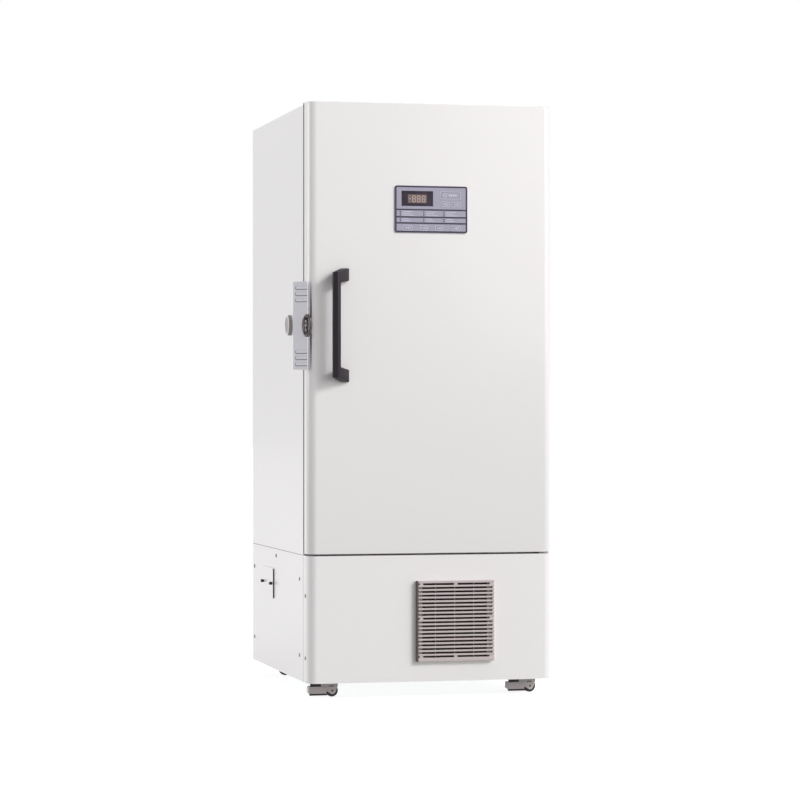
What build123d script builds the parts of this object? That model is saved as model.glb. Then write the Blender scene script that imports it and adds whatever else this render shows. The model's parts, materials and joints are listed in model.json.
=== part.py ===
# Upright ultra low temperature freezer, in millimetres.
# The origin is on the floor under the middle of the footprint, +Z is up and the door faces -Y.
import os
from math import cos, radians, sin

from build123d import *

os.makedirs("parts", exist_ok=True)

# Outer sizes of the cabinet and the door
width = 814.0
depth = 950.0
skirt_bottom = 52.0
box_bottom = 460.0
box_top = 1913.0
door_thick = 65.0
seal_gap = 12.0
door_bottom_gap = 6.0
door_rise = 3.0
edge_radius = 36.0
sheet = 1.5
door_sheet = 1.2
wrap_radius = 3.0

# Walls of the cold chamber
wall = 116.0
coil_space = 11.0
flange_width = 45.0
breaker_thick = 8.0
panel_joint = 0.5
liner_radius = 25.0
coil_tube_radius = 4.0
coil_levels = 6
coil_first = 64.0
coil_front_inset = 30.0

# Shelves and inner doors
shelf_count = 3
shelf_sheet = 2.0
shelf_lip = 18.0
shelf_side_gap = 2.0
track_width = 22.0
track_depth = 5.0
track_inset = 110.0
clip_height = 14.0
clip_reach = 12.0
inner_door_thick = 30.0
inner_door_gap = 4.0
inner_door_setback = 68.0
inner_pivot_inset = 16.0
inner_pivot_depth = 8.0
inner_pin_radius = 4.0
inner_pin_length = 16.0
inner_plate = 4.0

# Door plug, seal and hinges
plug_depth = 55.0
plug_clear = 14.0
plug_radius = 18.0
plug_taper = 4.0
gasket_inset = 24.0
gasket_width = 16.0
seal_clear = 0.3
hinge_inset = 15.0
hinge_pin_radius = 6.0
hinge_pin_length = 20.0
hinge_leaf = 5.0
hinge_leg = 4.0
hinge_width = 34.0
hinge_foot_width = 20.0
hinge_foot_height = 60.0
bush_wall = 4.0
run_clear = 0.05
slip_clear = 0.1
lift_clear = 0.5

# Pull handle on the door
handle_bottom = 1017.0
handle_height = 365.0
handle_splay = 14.0
handle_offset = 70.0
handle_bar = 26.0
handle_bar_depth = 20.0
handle_ridge = 15.0
handle_facet = 7.0
handle_round = 2.0
handle_reach = 60.0
handle_arm = 34.0
handle_foot_offset = 106.0
handle_foot = 26.0
handle_foot_height = 40.0
handle_foot_depth = 12.0

# Control panel on the door
panel_left = -123.0
panel_bottom = 1500.0
panel_width = 241.5
panel_height = 151.5
panel_thick = 4.0
panel_radius = 7.0
key_clear = 0.3
key_thick = 3.0
key_rise = 0.4
key_radius = 3.0
window_thick = 3.6

# Side latch on the door and its keeper on the cabinet
latch_mid = 1198.0
lever_height = 282.0
lever_width = 58.0
lever_sheet = 3.0
lever_flare = 40.0
lever_out = 3.0
lever_ahead = 4.0
lever_pin_along = 20.0
lever_pin_behind = 9.5
latch_pin_radius = 3.0
knuckle_wall = 3.4
knuckle_length = 62.0
lug_height = 12.0
lug_from_end = 14.0
lug_wall = 2.0
base_plate = 2.0
base_width = 20.0
claw_height = 36.0
claw_thick = 6.0
claw_from_tip = 1.0
claw_depth = 8.5
keeper_gap = 2.0
keeper_plate = 3.0
keeper_lip = 8.0
keeper_height = 44.0
keeper_foot = 40.0
keeper_clear = 1.2
knob_height = 74.0
knob_width = 40.0
knob_thick = 9.0
knob_spindle = 6.0
ear_rim = 4.0
groove_pitch = 9.0
groove_count = 3
groove_depth = 0.8
groove_height = 2.5
groove_length = 49.0

# Pressure relief port on the left side
port_behind = 285.0
port_height = 1207.0
port_radius = 33.5
port_thick = 12.0
port_tube_radius = 8.0
port_bore_radius = 5.0

# Air grille on the lower front
grille_left = -52.0
grille_bottom = 117.0
grille_width = 257.0
grille_height = 260.0
grille_out = 18.0
grille_face = 8.0
slot_count = 20
slot_pitch = 12.3
slot_height = 6.4
slot_width = 217.0
slot_rise = 2.5
groove_in = 5.0
grille_rib = 2.0
grille_rib_pitch = 64.0
grille_rib_count = 3
clip_width = 12.0
clip_inset = 10.0
clip_rows = {0: (-1, 0, 1), 9: (-1, 1), 19: (-1, 0, 1)}
filter_thick = 6.0
filter_margin = 10.0

# Machine compartment
base_underside = 75.0
pan_thick = 3.0
pan_lip = 25.0
deck_thick = 4.0
post_side = 40.0
post_thick = 3.0
panel_return = 14.0
hatch_behind = 564.0
hatch_length = 180.0
hatch_bottom = 289.0
hatch_height = 103.0
hatch_thick = 4.0
hatch_overlap = 10.0
hatch_knob_radius = 5.0
hatch_knob_out = 10.0
hatch_knob_inset = 16.0
rear_slot_columns = 4
rear_slot_rows = 9
rear_slot_height = 8.0
rear_slot_rise = 26.0
rear_slot_bridge = 40.0
rear_slot_margin = 9.0
inlet_from_side = 70.0
inlet_width = 30.0
inlet_height = 24.0
inlet_flange = 6.0
inlet_depth = 22.0
inlet_pocket = 4.0

# Screws on the sides of the lower panels
screw_radius = 6.5
screw_head = 1.6
pan_screw_behind = 42.0
pan_screw_low = 79.0
pan_screw_high = 279.0
side_screw_front = 58.0
side_screw_rear = 36.0
side_screw_low = 82.0
side_screw_high = 329.0
top_screw_ahead = 38.0
top_screw_below = 23.0

# Condenser, fan, compressors and the boxes beside them
condenser_width = 290.0
condenser_height = 300.0
condenser_depth = 60.0
fin_count = 18
fin_thick = 3.0
fan_radius = 118.0
fan_hub_radius = 26.0
fan_hub_length = 30.0
fan_gap = 22.0
blade_count = 5
blade_width = 52.0
blade_thick = 2.5
blade_pitch = 32.0
motor_radius = 42.0
motor_length = 80.0
motor_shaft_radius = 5.0
motor_gap = 8.0
compressor_radius = 92.0
compressor_height = 215.0
compressor_dome = 45.0
compressor_foot = 210.0
compressor_from_side = 190.0
compressor_from_back = 215.0
compressor_pitch = 370.0
foot_thick = 8.0
exchanger_x = 60.0
exchanger_width = 110.0
exchanger_depth = 90.0
exchanger_height = 300.0
exchanger_from_back = 185.0
exchanger_radius = 12.0
exchanger_dome = 8.0
control_width = 150.0
control_depth = 260.0
control_height = 220.0
control_from_side = 40.0
control_behind = 405.0
control_radius = 6.0

# Casters
caster_inset = 74.0
caster_front = 112.0
caster_rear = 75.0
caster_plate = 4.0
caster_plate_side = 64.0
caster_boss_radius = 20.0
caster_gap = 0.3
wheel_radius = 20.0
wheel_width = 22.0
wheel_trail = 26.0
axle_radius = 4.0
fork_cheek = 4.0
fork_clear = 0.8
fork_top = 60.0
swivel_pin_radius = 6.0
pedal_length = 26.0
pedal_thick = 6.0
pedal_drop = 28.0
pedal_round = 4.0
pedal_corner = 9.0
pedal_pivot = 7.0
pedal_pin_radius = 2.5
pedal_lug = 5.0
pedal_clear = 0.3
fork_reach = 15.0
fork_shoulder = 34.0
fork_toe = 6.0
fork_heel = 26.0
bolt_head = 1.5
hub_side = 3.0

# Planes and edges that follow from the sizes above
half = width / 2
front = -depth / 2
back = depth / 2
door_rear = front + door_thick
box_front = door_rear + seal_gap
door_bottom = box_bottom + door_bottom_gap
door_top = box_top + door_rise
door_height = door_top - door_bottom
liner_half = half - wall
liner_bottom = box_bottom + wall
liner_top = box_top - wall
liner_back = back - wall
liner_front = box_front + breaker_thick
liner_height = liner_top - liner_bottom
foam_half = liner_half + sheet + coil_space
foam_back = liner_back + sheet + coil_space
flange_half = half - flange_width
flange_bottom = box_bottom + flange_width
flange_top = box_top - flange_width


def block(x0, x1, y0, y1, z0, z1, mode=Mode.ADD):
    """A box between two limits on each axis."""
    with Locations(((x0 + x1) / 2, (y0 + y1) / 2, (z0 + z1) / 2)):
        Box(x1 - x0, y1 - y0, z1 - z0, mode=mode)


def rod(center, radius, length, direction, mode=Mode.ADD):
    """A cylinder that starts at a point and runs along a direction."""
    with Locations(Plane(origin=center, z_dir=direction)):
        Cylinder(radius, length, align=(Align.CENTER, Align.CENTER, Align.MIN), mode=mode)


def write(builder, name):
    builder.part.label = name
    export_step(builder.part, f"parts/{name}.step")


# Outer skin of the insulated box: one sheet bent over both sides and the top
with BuildPart() as cabinet_wrap:
    with BuildSketch(Plane.XZ.offset(-box_front)) as wrap_profile:
        with Locations((0, (box_bottom + box_top) / 2)):
            Rectangle(width, box_top - box_bottom)
        fillet(wrap_profile.vertices().group_by(Axis.Y)[-1], wrap_radius)
        with Locations((0, (box_bottom + box_top - sheet) / 2)):
            Rectangle(width - 2 * sheet, box_top - sheet - box_bottom, mode=Mode.SUBTRACT)
    extrude(amount=box_front - back)
    port_place = (-half, front + port_behind, port_height)
    rod(port_place, port_tube_radius + slip_clear, sheet, (1, 0, 0), Mode.SUBTRACT)
write(cabinet_wrap, "cabinet_wrap")

with BuildPart() as rear_panel:
    block(-half + sheet, half - sheet, back - sheet, back, box_bottom, box_top - sheet)
write(rear_panel, "rear_panel")

# Steel flange that the door seal closes on, with a return at its inner edge
with BuildPart() as front_frame:
    block(-half + sheet, half - sheet, box_front, box_front + sheet, box_bottom, box_top - sheet)
    block(-flange_half - sheet, flange_half + sheet, box_front + sheet, liner_front,
          flange_bottom - sheet, flange_top + sheet)
    block(-flange_half, flange_half, box_front, liner_front, flange_bottom, flange_top, Mode.SUBTRACT)
write(front_frame, "front_frame")

# Plastic collar that breaks the path of heat between the flange and the cold liner
with BuildPart() as breaker_frame:
    block(-flange_half, flange_half, box_front, liner_front, flange_bottom, flange_top)
    block(-liner_half, liner_half, box_front, liner_front, liner_bottom, liner_top, Mode.SUBTRACT)
write(breaker_frame, "breaker_frame")

with BuildPart() as insulation_panels:
    foam_out = half - sheet
    foam_top = box_top - sheet
    for side in (-1, 1):
        x_ends = sorted((side * foam_half, side * foam_out))
        block(*x_ends, liner_front, back - sheet, box_bottom, foam_top)
    inner_x = foam_half - panel_joint
    block(-inner_x, inner_x, liner_front, back - sheet, box_bottom, liner_bottom - sheet)
    block(-inner_x, inner_x, liner_front, back - sheet, liner_top + sheet, foam_top)
    block(-inner_x, inner_x, foam_back, back - sheet,
          liner_bottom - sheet + panel_joint, liner_top + sheet - panel_joint)
    rod(port_place, port_tube_radius + slip_clear, wall, (1, 0, 0), Mode.SUBTRACT)
write(insulation_panels, "insulation_panels")

# Cold chamber liner, open at the front
with BuildPart() as chamber_liner:
    with BuildSketch(Plane.XY.offset(liner_bottom - sheet)) as liner_outside:
        with Locations((0, (liner_front + liner_back + sheet) / 2)):
            Rectangle(2 * (liner_half + sheet), liner_back + sheet - liner_front)
        fillet(liner_outside.vertices().group_by(Axis.Y)[-1], liner_radius + sheet)
    extrude(amount=liner_height + 2 * sheet)
    with BuildSketch(Plane.XY.offset(liner_bottom)) as liner_inside:
        with Locations((0, (liner_front + liner_back) / 2)):
            Rectangle(2 * liner_half, liner_back - liner_front)
        fillet(liner_inside.vertices().group_by(Axis.Y)[-1], liner_radius)
    extrude(amount=liner_height, mode=Mode.SUBTRACT)
    rod(port_place, port_tube_radius + slip_clear, wall, (1, 0, 0), Mode.SUBTRACT)

# Evaporator: one tube wound round the sides and back of the liner, level by level
with BuildPart() as evaporator_coil:
    coil_off = sheet + seal_clear + coil_tube_radius
    coil_x = liner_half + coil_off
    coil_back = liner_back + coil_off
    coil_front = liner_front + coil_front_inset
    coil_pitch = (liner_height - 2 * coil_first) / (coil_levels - 1)
    coil_points = []
    for level in range(coil_levels):
        coil_z = liner_bottom + coil_first + level * coil_pitch
        turn = 1 if level % 2 else -1
        coil_points += [
            (turn * coil_x, coil_front, coil_z),
            (turn * coil_x, coil_back, coil_z),
            (-turn * coil_x, coil_back, coil_z),
            (-turn * coil_x, coil_front, coil_z),
        ]
    with BuildLine() as coil_path:
        FilletPolyline(*coil_points, radius=liner_radius + coil_off)
    with BuildSketch(Plane(origin=coil_path.line @ 0, z_dir=coil_path.line % 0)):
        Circle(coil_tube_radius)
    sweep(path=coil_path.line)
write(evaporator_coil, "evaporator_coil")

# Four shelf tracks on the liner's side walls, each with a clip under every shelf
shelf_pitch = liner_height / (shelf_count + 1)
shelf_heights = [liner_bottom + (n + 1) * shelf_pitch for n in range(shelf_count)]
inner_door_rear = box_front + inner_door_setback + inner_door_thick
shelf_front = inner_door_rear + inner_door_gap
shelf_back = liner_back - liner_radius
with BuildPart() as shelf_supports:
    for side in (-1, 1):
        for track_y in (shelf_front + track_inset, shelf_back - track_inset):
            x_ends = sorted((side * liner_half, side * (liner_half - track_depth)))
            y_ends = (track_y - track_width / 2, track_y + track_width / 2)
            block(*x_ends, *y_ends, liner_bottom + clip_height, liner_top - clip_height)
            clip_ends = sorted((side * liner_half, side * (liner_half - track_depth - clip_reach)))
            for shelf_z in shelf_heights:
                block(*clip_ends, *y_ends, shelf_z - clip_height - shelf_sheet, shelf_z - shelf_sheet)
write(shelf_supports, "shelf_supports")

with BuildPart() as shelves:
    shelf_half = liner_half - track_depth - shelf_side_gap
    for shelf_z in shelf_heights:
        block(-shelf_half, shelf_half, shelf_front, shelf_back, shelf_z - shelf_sheet, shelf_z)
        block(-shelf_half, shelf_half, shelf_front, shelf_front + shelf_sheet,
              shelf_z - shelf_lip, shelf_z)
        block(-shelf_half, shelf_half, shelf_back - shelf_sheet, shelf_back,
              shelf_z - shelf_lip, shelf_z)
write(shelves, "shelves")

# Two insulated inner doors that turn on stub pins beside the right wall
inner_pivot_x = liner_half - inner_pivot_inset
inner_pivot_y = box_front + inner_door_setback + inner_pivot_depth
inner_split = (liner_bottom + liner_top) / 2


def inner_door(bottom, top):
    """A thick flap with a hole for a stub pin at each end of its hinge edge."""
    with BuildPart() as flap:
        block(-liner_half + inner_door_gap, inner_pivot_x + inner_pivot_depth,
              inner_door_rear - inner_door_thick, inner_door_rear, bottom, top)
        fillet(flap.edges().filter_by(Axis.Z), inner_pivot_depth / 2)
        for z, way in ((bottom, 1), (top, -1)):
            rod((inner_pivot_x, inner_pivot_y, z), inner_pin_radius + run_clear,
                inner_pin_length + 1, (0, 0, way), Mode.SUBTRACT)
    return flap


lower_ends = (liner_bottom + inner_door_gap + inner_plate,
              inner_split - inner_door_gap / 2 - inner_plate / 2)
upper_ends = (inner_split + inner_door_gap / 2 + inner_plate / 2,
              liner_top - inner_door_gap - inner_plate)
inner_door_lower = inner_door(*lower_ends)
write(inner_door_lower, "inner_door_lower")
inner_door_upper = inner_door(*upper_ends)
write(inner_door_upper, "inner_door_upper")

# Three plates welded to the liner's right wall carry the inner doors' stub pins
with chamber_liner:
    plate_y = (inner_pivot_y - inner_pivot_inset, inner_pivot_y + inner_pivot_inset)
    plate_x = (inner_pivot_x - inner_pivot_depth, liner_half)
    for plate_z, ways in (
        (lower_ends[0] - inner_door_gap / 2, (1,)),
        (inner_split, (1, -1)),
        (upper_ends[1] + inner_door_gap / 2, (-1,)),
    ):
        block(*plate_x, *plate_y, plate_z - inner_plate / 2, plate_z + inner_plate / 2)
        for way in ways:
            rod((inner_pivot_x, inner_pivot_y, plate_z), inner_pin_radius, inner_pin_length, (0, 0, way))
write(chamber_liner, "chamber_liner")

# Pressure relief port: a round cap on the left side with a tube through the wall
with BuildPart() as vent_port:
    rod(port_place, port_radius, port_thick, (-1, 0, 0))
    fillet(vent_port.edges().filter_by(GeomType.CIRCLE).sort_by(Axis.X)[0], port_thick / 4)
    rod(port_place, port_tube_radius, wall, (1, 0, 0))
    rod((-half + wall, *port_place[1:]), port_bore_radius, wall, (-1, 0, 0), Mode.SUBTRACT)
write(vent_port, "vent_port")

# Door: a steel pan with rounded upright edges, filled with foam and closed by a liner with a plug
pivot = (half - hinge_inset, door_rear - hinge_inset)
bush_radius = hinge_pin_radius + run_clear + bush_wall
door_ends = ((door_bottom, 1), (door_top, -1))
with BuildPart() as door_skin:
    with BuildSketch(Plane.XY.offset(door_bottom)) as door_outside:
        with Locations((0, (front + door_rear) / 2)):
            Rectangle(width, door_thick)
        fillet(door_outside.vertices().group_by(Axis.Y)[0], edge_radius)
    extrude(amount=door_height)
    with BuildSketch(Plane.XY.offset(door_bottom + door_sheet)) as door_inside:
        with Locations((0, (front + door_sheet + door_rear) / 2)):
            Rectangle(width - 2 * door_sheet, door_thick - door_sheet)
        fillet(door_inside.vertices().group_by(Axis.Y)[0], edge_radius - door_sheet)
    extrude(amount=door_height - 2 * door_sheet, mode=Mode.SUBTRACT)
    for z, way in door_ends:
        rod((*pivot, z), bush_radius + slip_clear, door_sheet, (0, 0, way), Mode.SUBTRACT)
write(door_skin, "door_skin")

with BuildPart() as door_insulation:
    with BuildSketch(Plane.XY.offset(door_bottom + door_sheet)) as door_core:
        with Locations((0, (front + door_rear) / 2)):
            Rectangle(width - 2 * door_sheet, door_thick - 2 * door_sheet)
        fillet(door_core.vertices().group_by(Axis.Y)[0], edge_radius - door_sheet)
    extrude(amount=door_height - 2 * door_sheet)
    for z, way in door_ends:
        rod((*pivot, z), bush_radius + slip_clear, hinge_pin_length + bush_wall, (0, 0, way), Mode.SUBTRACT)
write(door_insulation, "door_insulation")

with BuildPart() as door_liner:
    block(-half + door_sheet, half - door_sheet, door_rear - door_sheet, door_rear,
          door_bottom + door_sheet, door_top - door_sheet)
    with BuildSketch(Plane.XZ.offset(-door_rear)):
        with Locations((0, (liner_bottom + liner_top) / 2)):
            RectangleRounded(2 * (liner_half - plug_clear), liner_height - 2 * plug_clear, plug_radius)
    extrude(amount=-plug_depth, taper=plug_taper)
    plug_face = door_liner.faces().sort_by(Axis.Y)[-1]
    fillet(plug_face.edges(), plug_radius / 3)
write(door_liner, "door_liner")

gasket_half = half - gasket_inset
with BuildPart() as door_gasket:
    gasket_bottom = door_bottom + gasket_inset
    gasket_top = door_top - gasket_inset
    with BuildSketch(Plane.XZ.offset(-door_rear)):
        with Locations((0, (gasket_bottom + gasket_top) / 2)):
            Rectangle(2 * gasket_half, gasket_top - gasket_bottom)
            Rectangle(2 * (gasket_half - gasket_width), gasket_top - gasket_bottom - 2 * gasket_width,
                      mode=Mode.SUBTRACT)
    extrude(amount=seal_clear - seal_gap)
    chamfer(door_gasket.faces().sort_by(Axis.Y)[-1].edges(), gasket_width / 5)
write(door_gasket, "door_gasket")

with BuildPart() as hinge_bushes:
    for z, way in door_ends:
        rod((*pivot, z), bush_radius, hinge_pin_length + bush_wall / 2, (0, 0, way))
        rod((*pivot, z), hinge_pin_radius + run_clear, hinge_pin_length + bush_wall / 2, (0, 0, way),
            Mode.SUBTRACT)
write(hinge_bushes, "hinge_bushes")


def hinge_bracket(door_end, way):
    """An angle bracket on the cabinet flange with a pin that points into the door's end."""
    leaf_near = door_end - way * lift_clear
    leaf_far = leaf_near - way * hinge_leaf
    leaf_z = sorted((leaf_near, leaf_far))
    foot_z = sorted((leaf_far, leaf_near + way * hinge_foot_height))
    edge = half - sheet
    block(edge - hinge_width, edge, pivot[1] - hinge_inset, box_front, *leaf_z)
    block(edge - hinge_foot_width, edge, box_front - hinge_leg, box_front, *foot_z)
    rod((*pivot, leaf_near), hinge_pin_radius, hinge_pin_length + lift_clear, (0, 0, way))


with BuildPart() as door_hinges:
    for z, way in door_ends:
        hinge_bracket(z, way)
write(door_hinges, "door_hinges")

# Pull handle: an upright ridged bar on two arms that lean back and spread to their feet on the door
with BuildPart() as pull_handle:
    bar_left = -half + handle_offset
    bar_front = front - handle_reach
    bar_height = handle_height - 2 * handle_splay
    handle_mid = handle_bottom + handle_height / 2
    with BuildSketch(Plane.XY.offset(handle_bottom + handle_splay)) as bar_section:
        with BuildLine():
            Polyline(
                (bar_left, bar_front + handle_bar_depth),
                (bar_left, bar_front + handle_facet),
                (bar_left + handle_ridge, bar_front),
                (bar_left + handle_bar, bar_front + handle_facet),
                (bar_left + handle_bar, bar_front + handle_bar_depth),
                close=True,
            )
        make_face()
        fillet(bar_section.vertices(), handle_round)
    extrude(amount=bar_height)
    for end in (-1, 1):
        foot_place = (handle_foot / 2 + handle_foot_offset - half,
                      handle_mid + end * (handle_height - handle_foot_height) / 2)
        arm_place = (bar_left + handle_bar / 2, handle_mid + end * (bar_height - handle_arm) / 2)
        with BuildSketch(Plane.XZ.offset(handle_foot_depth - front)):
            with Locations(foot_place):
                RectangleRounded(handle_foot, handle_foot_height, 2 * handle_round)
        extrude(amount=-handle_foot_depth)
        with BuildSketch(Plane.XZ.offset(-bar_front - handle_bar_depth / 2)):
            with Locations(arm_place):
                RectangleRounded(handle_bar - 2 * handle_round, handle_arm, handle_round)
        with BuildSketch(Plane.XZ.offset(handle_foot_depth - front)):
            with Locations(foot_place):
                RectangleRounded(handle_foot, handle_foot_height, 2 * handle_round)
        loft()
write(pull_handle, "pull_handle")

# Control panel: a framed overlay with a display window and seven keys
panel_top = panel_bottom + panel_height
panel_front = front - panel_thick
window_place = (22, 127, 17, 66)
key_places = {
    "key_alarm": (151, 220, 17, 42),
    "key_upper_left": (152, 183, 50, 67),
    "key_upper_right": (188, 220, 50, 67),
    "key_lower_1": (24, 60, 127, 145),
    "key_lower_2": (83, 110, 127, 145),
    "key_lower_3": (134, 161, 127, 145),
    "key_lower_4": (185, 220, 127, 145),
}


def panel_rectangle(place, grow, radius):
    """A rounded rectangle given by its left, right, top and bottom on the control panel."""
    x0, x1, down0, down1 = place
    with Locations((panel_left + (x0 + x1) / 2, panel_top - (down0 + down1) / 2)):
        RectangleRounded(x1 - x0 + 2 * grow, down1 - down0 + 2 * grow, radius)


with BuildPart() as control_bezel:
    with BuildSketch(Plane.XZ.offset(-front)):
        panel_rectangle((0, panel_width, 0, panel_height), 0, panel_radius)
    extrude(amount=panel_thick)
    with BuildSketch(Plane.XZ.offset(-front)):
        panel_rectangle(window_place, 0, key_radius / 2)
        for place in key_places.values():
            panel_rectangle(place, key_clear, key_radius + key_clear)
    extrude(amount=panel_thick, mode=Mode.SUBTRACT)
write(control_bezel, "control_bezel")

with BuildPart() as display_window:
    with BuildSketch(Plane.XZ.offset(-front)):
        panel_rectangle(window_place, 0, key_radius / 2)
    extrude(amount=window_thick)
write(display_window, "display_window")

for key_name, place in key_places.items():
    with BuildPart() as key:
        with BuildSketch(Plane.XZ.offset(-panel_front + key_rise - key_thick)):
            panel_rectangle(place, 0, key_radius)
        extrude(amount=key_thick)
    write(key, key_name)

# Side latch: a flared lever on an upright pin at the door's edge, and the claw behind it for the keeper
flare = radians(lever_flare)
lip = (-half - lever_out, front - lever_ahead)
along = (-sin(flare), cos(flare))
outward = (-cos(flare), -sin(flare))
lever_plane = Plane(origin=(*lip, latch_mid), x_dir=(*along, 0), z_dir=(*outward, 0))
pin_x = lip[0] + lever_pin_along * along[0] - lever_pin_behind * outward[0]
pin_y = lip[1] + lever_pin_along * along[1] - lever_pin_behind * outward[1]
lever_bottom = latch_mid - lever_height / 2
lever_top = latch_mid + lever_height / 2
lug_places = (lever_bottom + lug_from_end, lever_top - lug_from_end - lug_height)
lug_radius = latch_pin_radius + lug_wall
knuckle_radius = latch_pin_radius + knuckle_wall

with BuildPart() as latch_base:
    base_back = front + edge_radius + base_width
    block(-half - base_plate, -half, front + edge_radius, base_back, lever_bottom, lever_top)
    for lug_z in lug_places:
        block(pin_x, -half, pin_y - lug_radius, base_back, lug_z, lug_z + lug_height)
        rod((pin_x, pin_y, lug_z), lug_radius, lug_height, (0, 0, 1))
    pin_length = lug_places[1] - lug_places[0] + lug_height
    rod((pin_x, pin_y, lug_places[0]), latch_pin_radius, pin_length, (0, 0, 1))
write(latch_base, "latch_base")

knuckle_starts = (lug_places[0] + lug_height + seal_clear, lug_places[1] - seal_clear - knuckle_length)
with BuildPart() as latch_lever:
    with BuildSketch(lever_plane):
        with Locations((lever_width / 2, 0)):
            RectangleRounded(lever_width, lever_height, lever_sheet)
        Ellipse(knob_width / 2 - ear_rim, knob_height / 2 - ear_rim)
    extrude(amount=-lever_sheet)
    with BuildSketch(lever_plane.offset(-groove_depth)):
        for end in (-1, 1):
            for line in range(groove_count):
                from_end = lever_height / 2 - groove_pitch * (line + 1)
                with Locations((groove_length / 2 - groove_height, end * from_end)):
                    SlotOverall(groove_length + 2 * groove_height, groove_height)
    extrude(amount=groove_depth, mode=Mode.SUBTRACT)
    for knuckle_z in knuckle_starts:
        rod((pin_x, pin_y, knuckle_z), knuckle_radius, knuckle_length, (0, 0, 1))
        web_plane = Plane(origin=(*lip, knuckle_z), x_dir=(*along, 0), z_dir=(0, 0, 1))
        with BuildSketch(web_plane):
            with Locations((lever_pin_along, -lever_pin_behind / 2)):
                Rectangle(2 * knuckle_wall, lever_pin_behind - lever_sheet / 2)
        extrude(amount=knuckle_length)
        rod((pin_x, pin_y, knuckle_z), latch_pin_radius + run_clear, knuckle_length, (0, 0, 1),
            Mode.SUBTRACT)
    with BuildSketch(lever_plane):
        Circle(knob_spindle + run_clear)
    extrude(amount=-lever_sheet, mode=Mode.SUBTRACT)
write(latch_lever, "latch_lever")

with BuildPart() as latch_claw:
    with BuildSketch(lever_plane.offset(-lever_sheet)):
        with Locations((lever_width - claw_from_tip - claw_thick / 2, 0)):
            Rectangle(claw_thick, claw_height)
    extrude(amount=-claw_depth)
write(latch_claw, "latch_claw")

# Oval lock knob on the lever, with a key slot, turning on its spindle
with BuildPart() as lock_knob:
    with BuildSketch(lever_plane.offset(seal_clear)):
        Ellipse(knob_width / 2, knob_height / 2)
    extrude(amount=knob_thick)
    with BuildSketch(lever_plane.offset(seal_clear)):
        Circle(knob_spindle)
    extrude(amount=-seal_clear - lever_sheet)
    with BuildSketch(lever_plane.offset(seal_clear + knob_thick)):
        Ellipse(knob_width / 2 - 2 * ear_rim, knob_height / 2 - 2 * ear_rim)
        Circle(knob_spindle, mode=Mode.SUBTRACT)
    extrude(amount=-knob_thick / 4, mode=Mode.SUBTRACT)
    with BuildSketch(lever_plane.offset(seal_clear + knob_thick)):
        Rectangle(knob_spindle / 4, knob_spindle)
    extrude(amount=-knob_thick / 2, mode=Mode.SUBTRACT)
write(lock_knob, "lock_knob")

# Keeper on the cabinet's side, with a lip that the claw swings in behind
claw_front = pin_y + lever_width - claw_from_tip - claw_thick - lever_pin_along
keeper_front = claw_front - keeper_clear - keeper_plate
with BuildPart() as latch_strike:
    keeper_z = (latch_mid - keeper_height / 2, latch_mid + keeper_height / 2)
    keeper_in = -half - keeper_gap
    keeper_out = keeper_in - keeper_plate
    block(keeper_out, keeper_in, keeper_front, box_front + keeper_foot, *keeper_z)
    block(keeper_in, -half, box_front + keeper_gap, box_front + keeper_foot, *keeper_z)
    block(keeper_out - keeper_lip, keeper_out, keeper_front, keeper_front + keeper_plate, *keeper_z)
write(latch_strike, "latch_strike")

# Lower front: a pan with the door's rounded edges and an opening behind the grille
grille_x = grille_left + grille_width / 2
slots_z = grille_bottom + grille_height / 2 + slot_rise
slot_stack = slot_pitch * (slot_count - 1) + slot_height
with BuildPart() as lower_front_panel:
    with BuildSketch(Plane.XY.offset(skirt_bottom)) as pan_outside:
        with Locations((0, (front + box_front) / 2)):
            Rectangle(width, box_front - front)
        fillet(pan_outside.vertices().group_by(Axis.Y)[0], edge_radius)
    extrude(amount=box_bottom - skirt_bottom)
    with BuildSketch(Plane.XY.offset(skirt_bottom)) as pan_inside:
        with Locations((0, (front + sheet + box_front) / 2)):
            Rectangle(width - 2 * sheet, box_front - front - sheet)
        fillet(pan_inside.vertices().group_by(Axis.Y)[0], edge_radius - sheet)
    extrude(amount=box_bottom - skirt_bottom - sheet, mode=Mode.SUBTRACT)
    block(grille_x - slot_width / 2, grille_x + slot_width / 2, front, front + sheet,
          slots_z - slot_stack / 2, slots_z + slot_stack / 2, Mode.SUBTRACT)
write(lower_front_panel, "lower_front_panel")

# Grille: a raised frame with level slots, stiffened behind by upright ribs
with BuildPart() as front_grille:
    grille_front = front - grille_out
    block(grille_left, grille_left + grille_width, grille_front, front,
          grille_bottom, grille_bottom + grille_height)
    block(grille_x - slot_width / 2, grille_x + slot_width / 2, grille_front + grille_face, front,
          slots_z - slot_stack / 2, slots_z + slot_stack / 2, Mode.SUBTRACT)
    with BuildSketch(Plane.XZ.offset(-grille_front)):
        with Locations((grille_x, slots_z)):
            with GridLocations(0, slot_pitch, 1, slot_count):
                Rectangle(slot_width, slot_height)
    extrude(amount=-grille_face, mode=Mode.SUBTRACT)
    with BuildSketch(Plane.XZ.offset(-grille_front)):
        with Locations((grille_x, slots_z)):
            with GridLocations(0, slot_pitch, 1, slot_count):
                Rectangle(grille_width, slot_height)
    extrude(amount=-groove_in, mode=Mode.SUBTRACT)
    with BuildSketch(Plane.XZ.offset(-front)):
        with Locations((grille_x, slots_z)):
            with GridLocations(grille_rib_pitch, 0, grille_rib_count, 1):
                Rectangle(grille_rib, slot_stack)
    extrude(amount=grille_out - grille_face)
    for row, sides in clip_rows.items():
        clip_z = slots_z + ((slot_count - 1) / 2 - row) * slot_pitch
        for side in sides:
            clip_x = grille_x + side * (grille_width / 2 - clip_inset)
            block(clip_x - clip_width / 2, clip_x + clip_width / 2, grille_front, grille_front + grille_face,
                  clip_z - slot_height / 2, clip_z + slot_height / 2)
write(front_grille, "front_grille")

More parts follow.
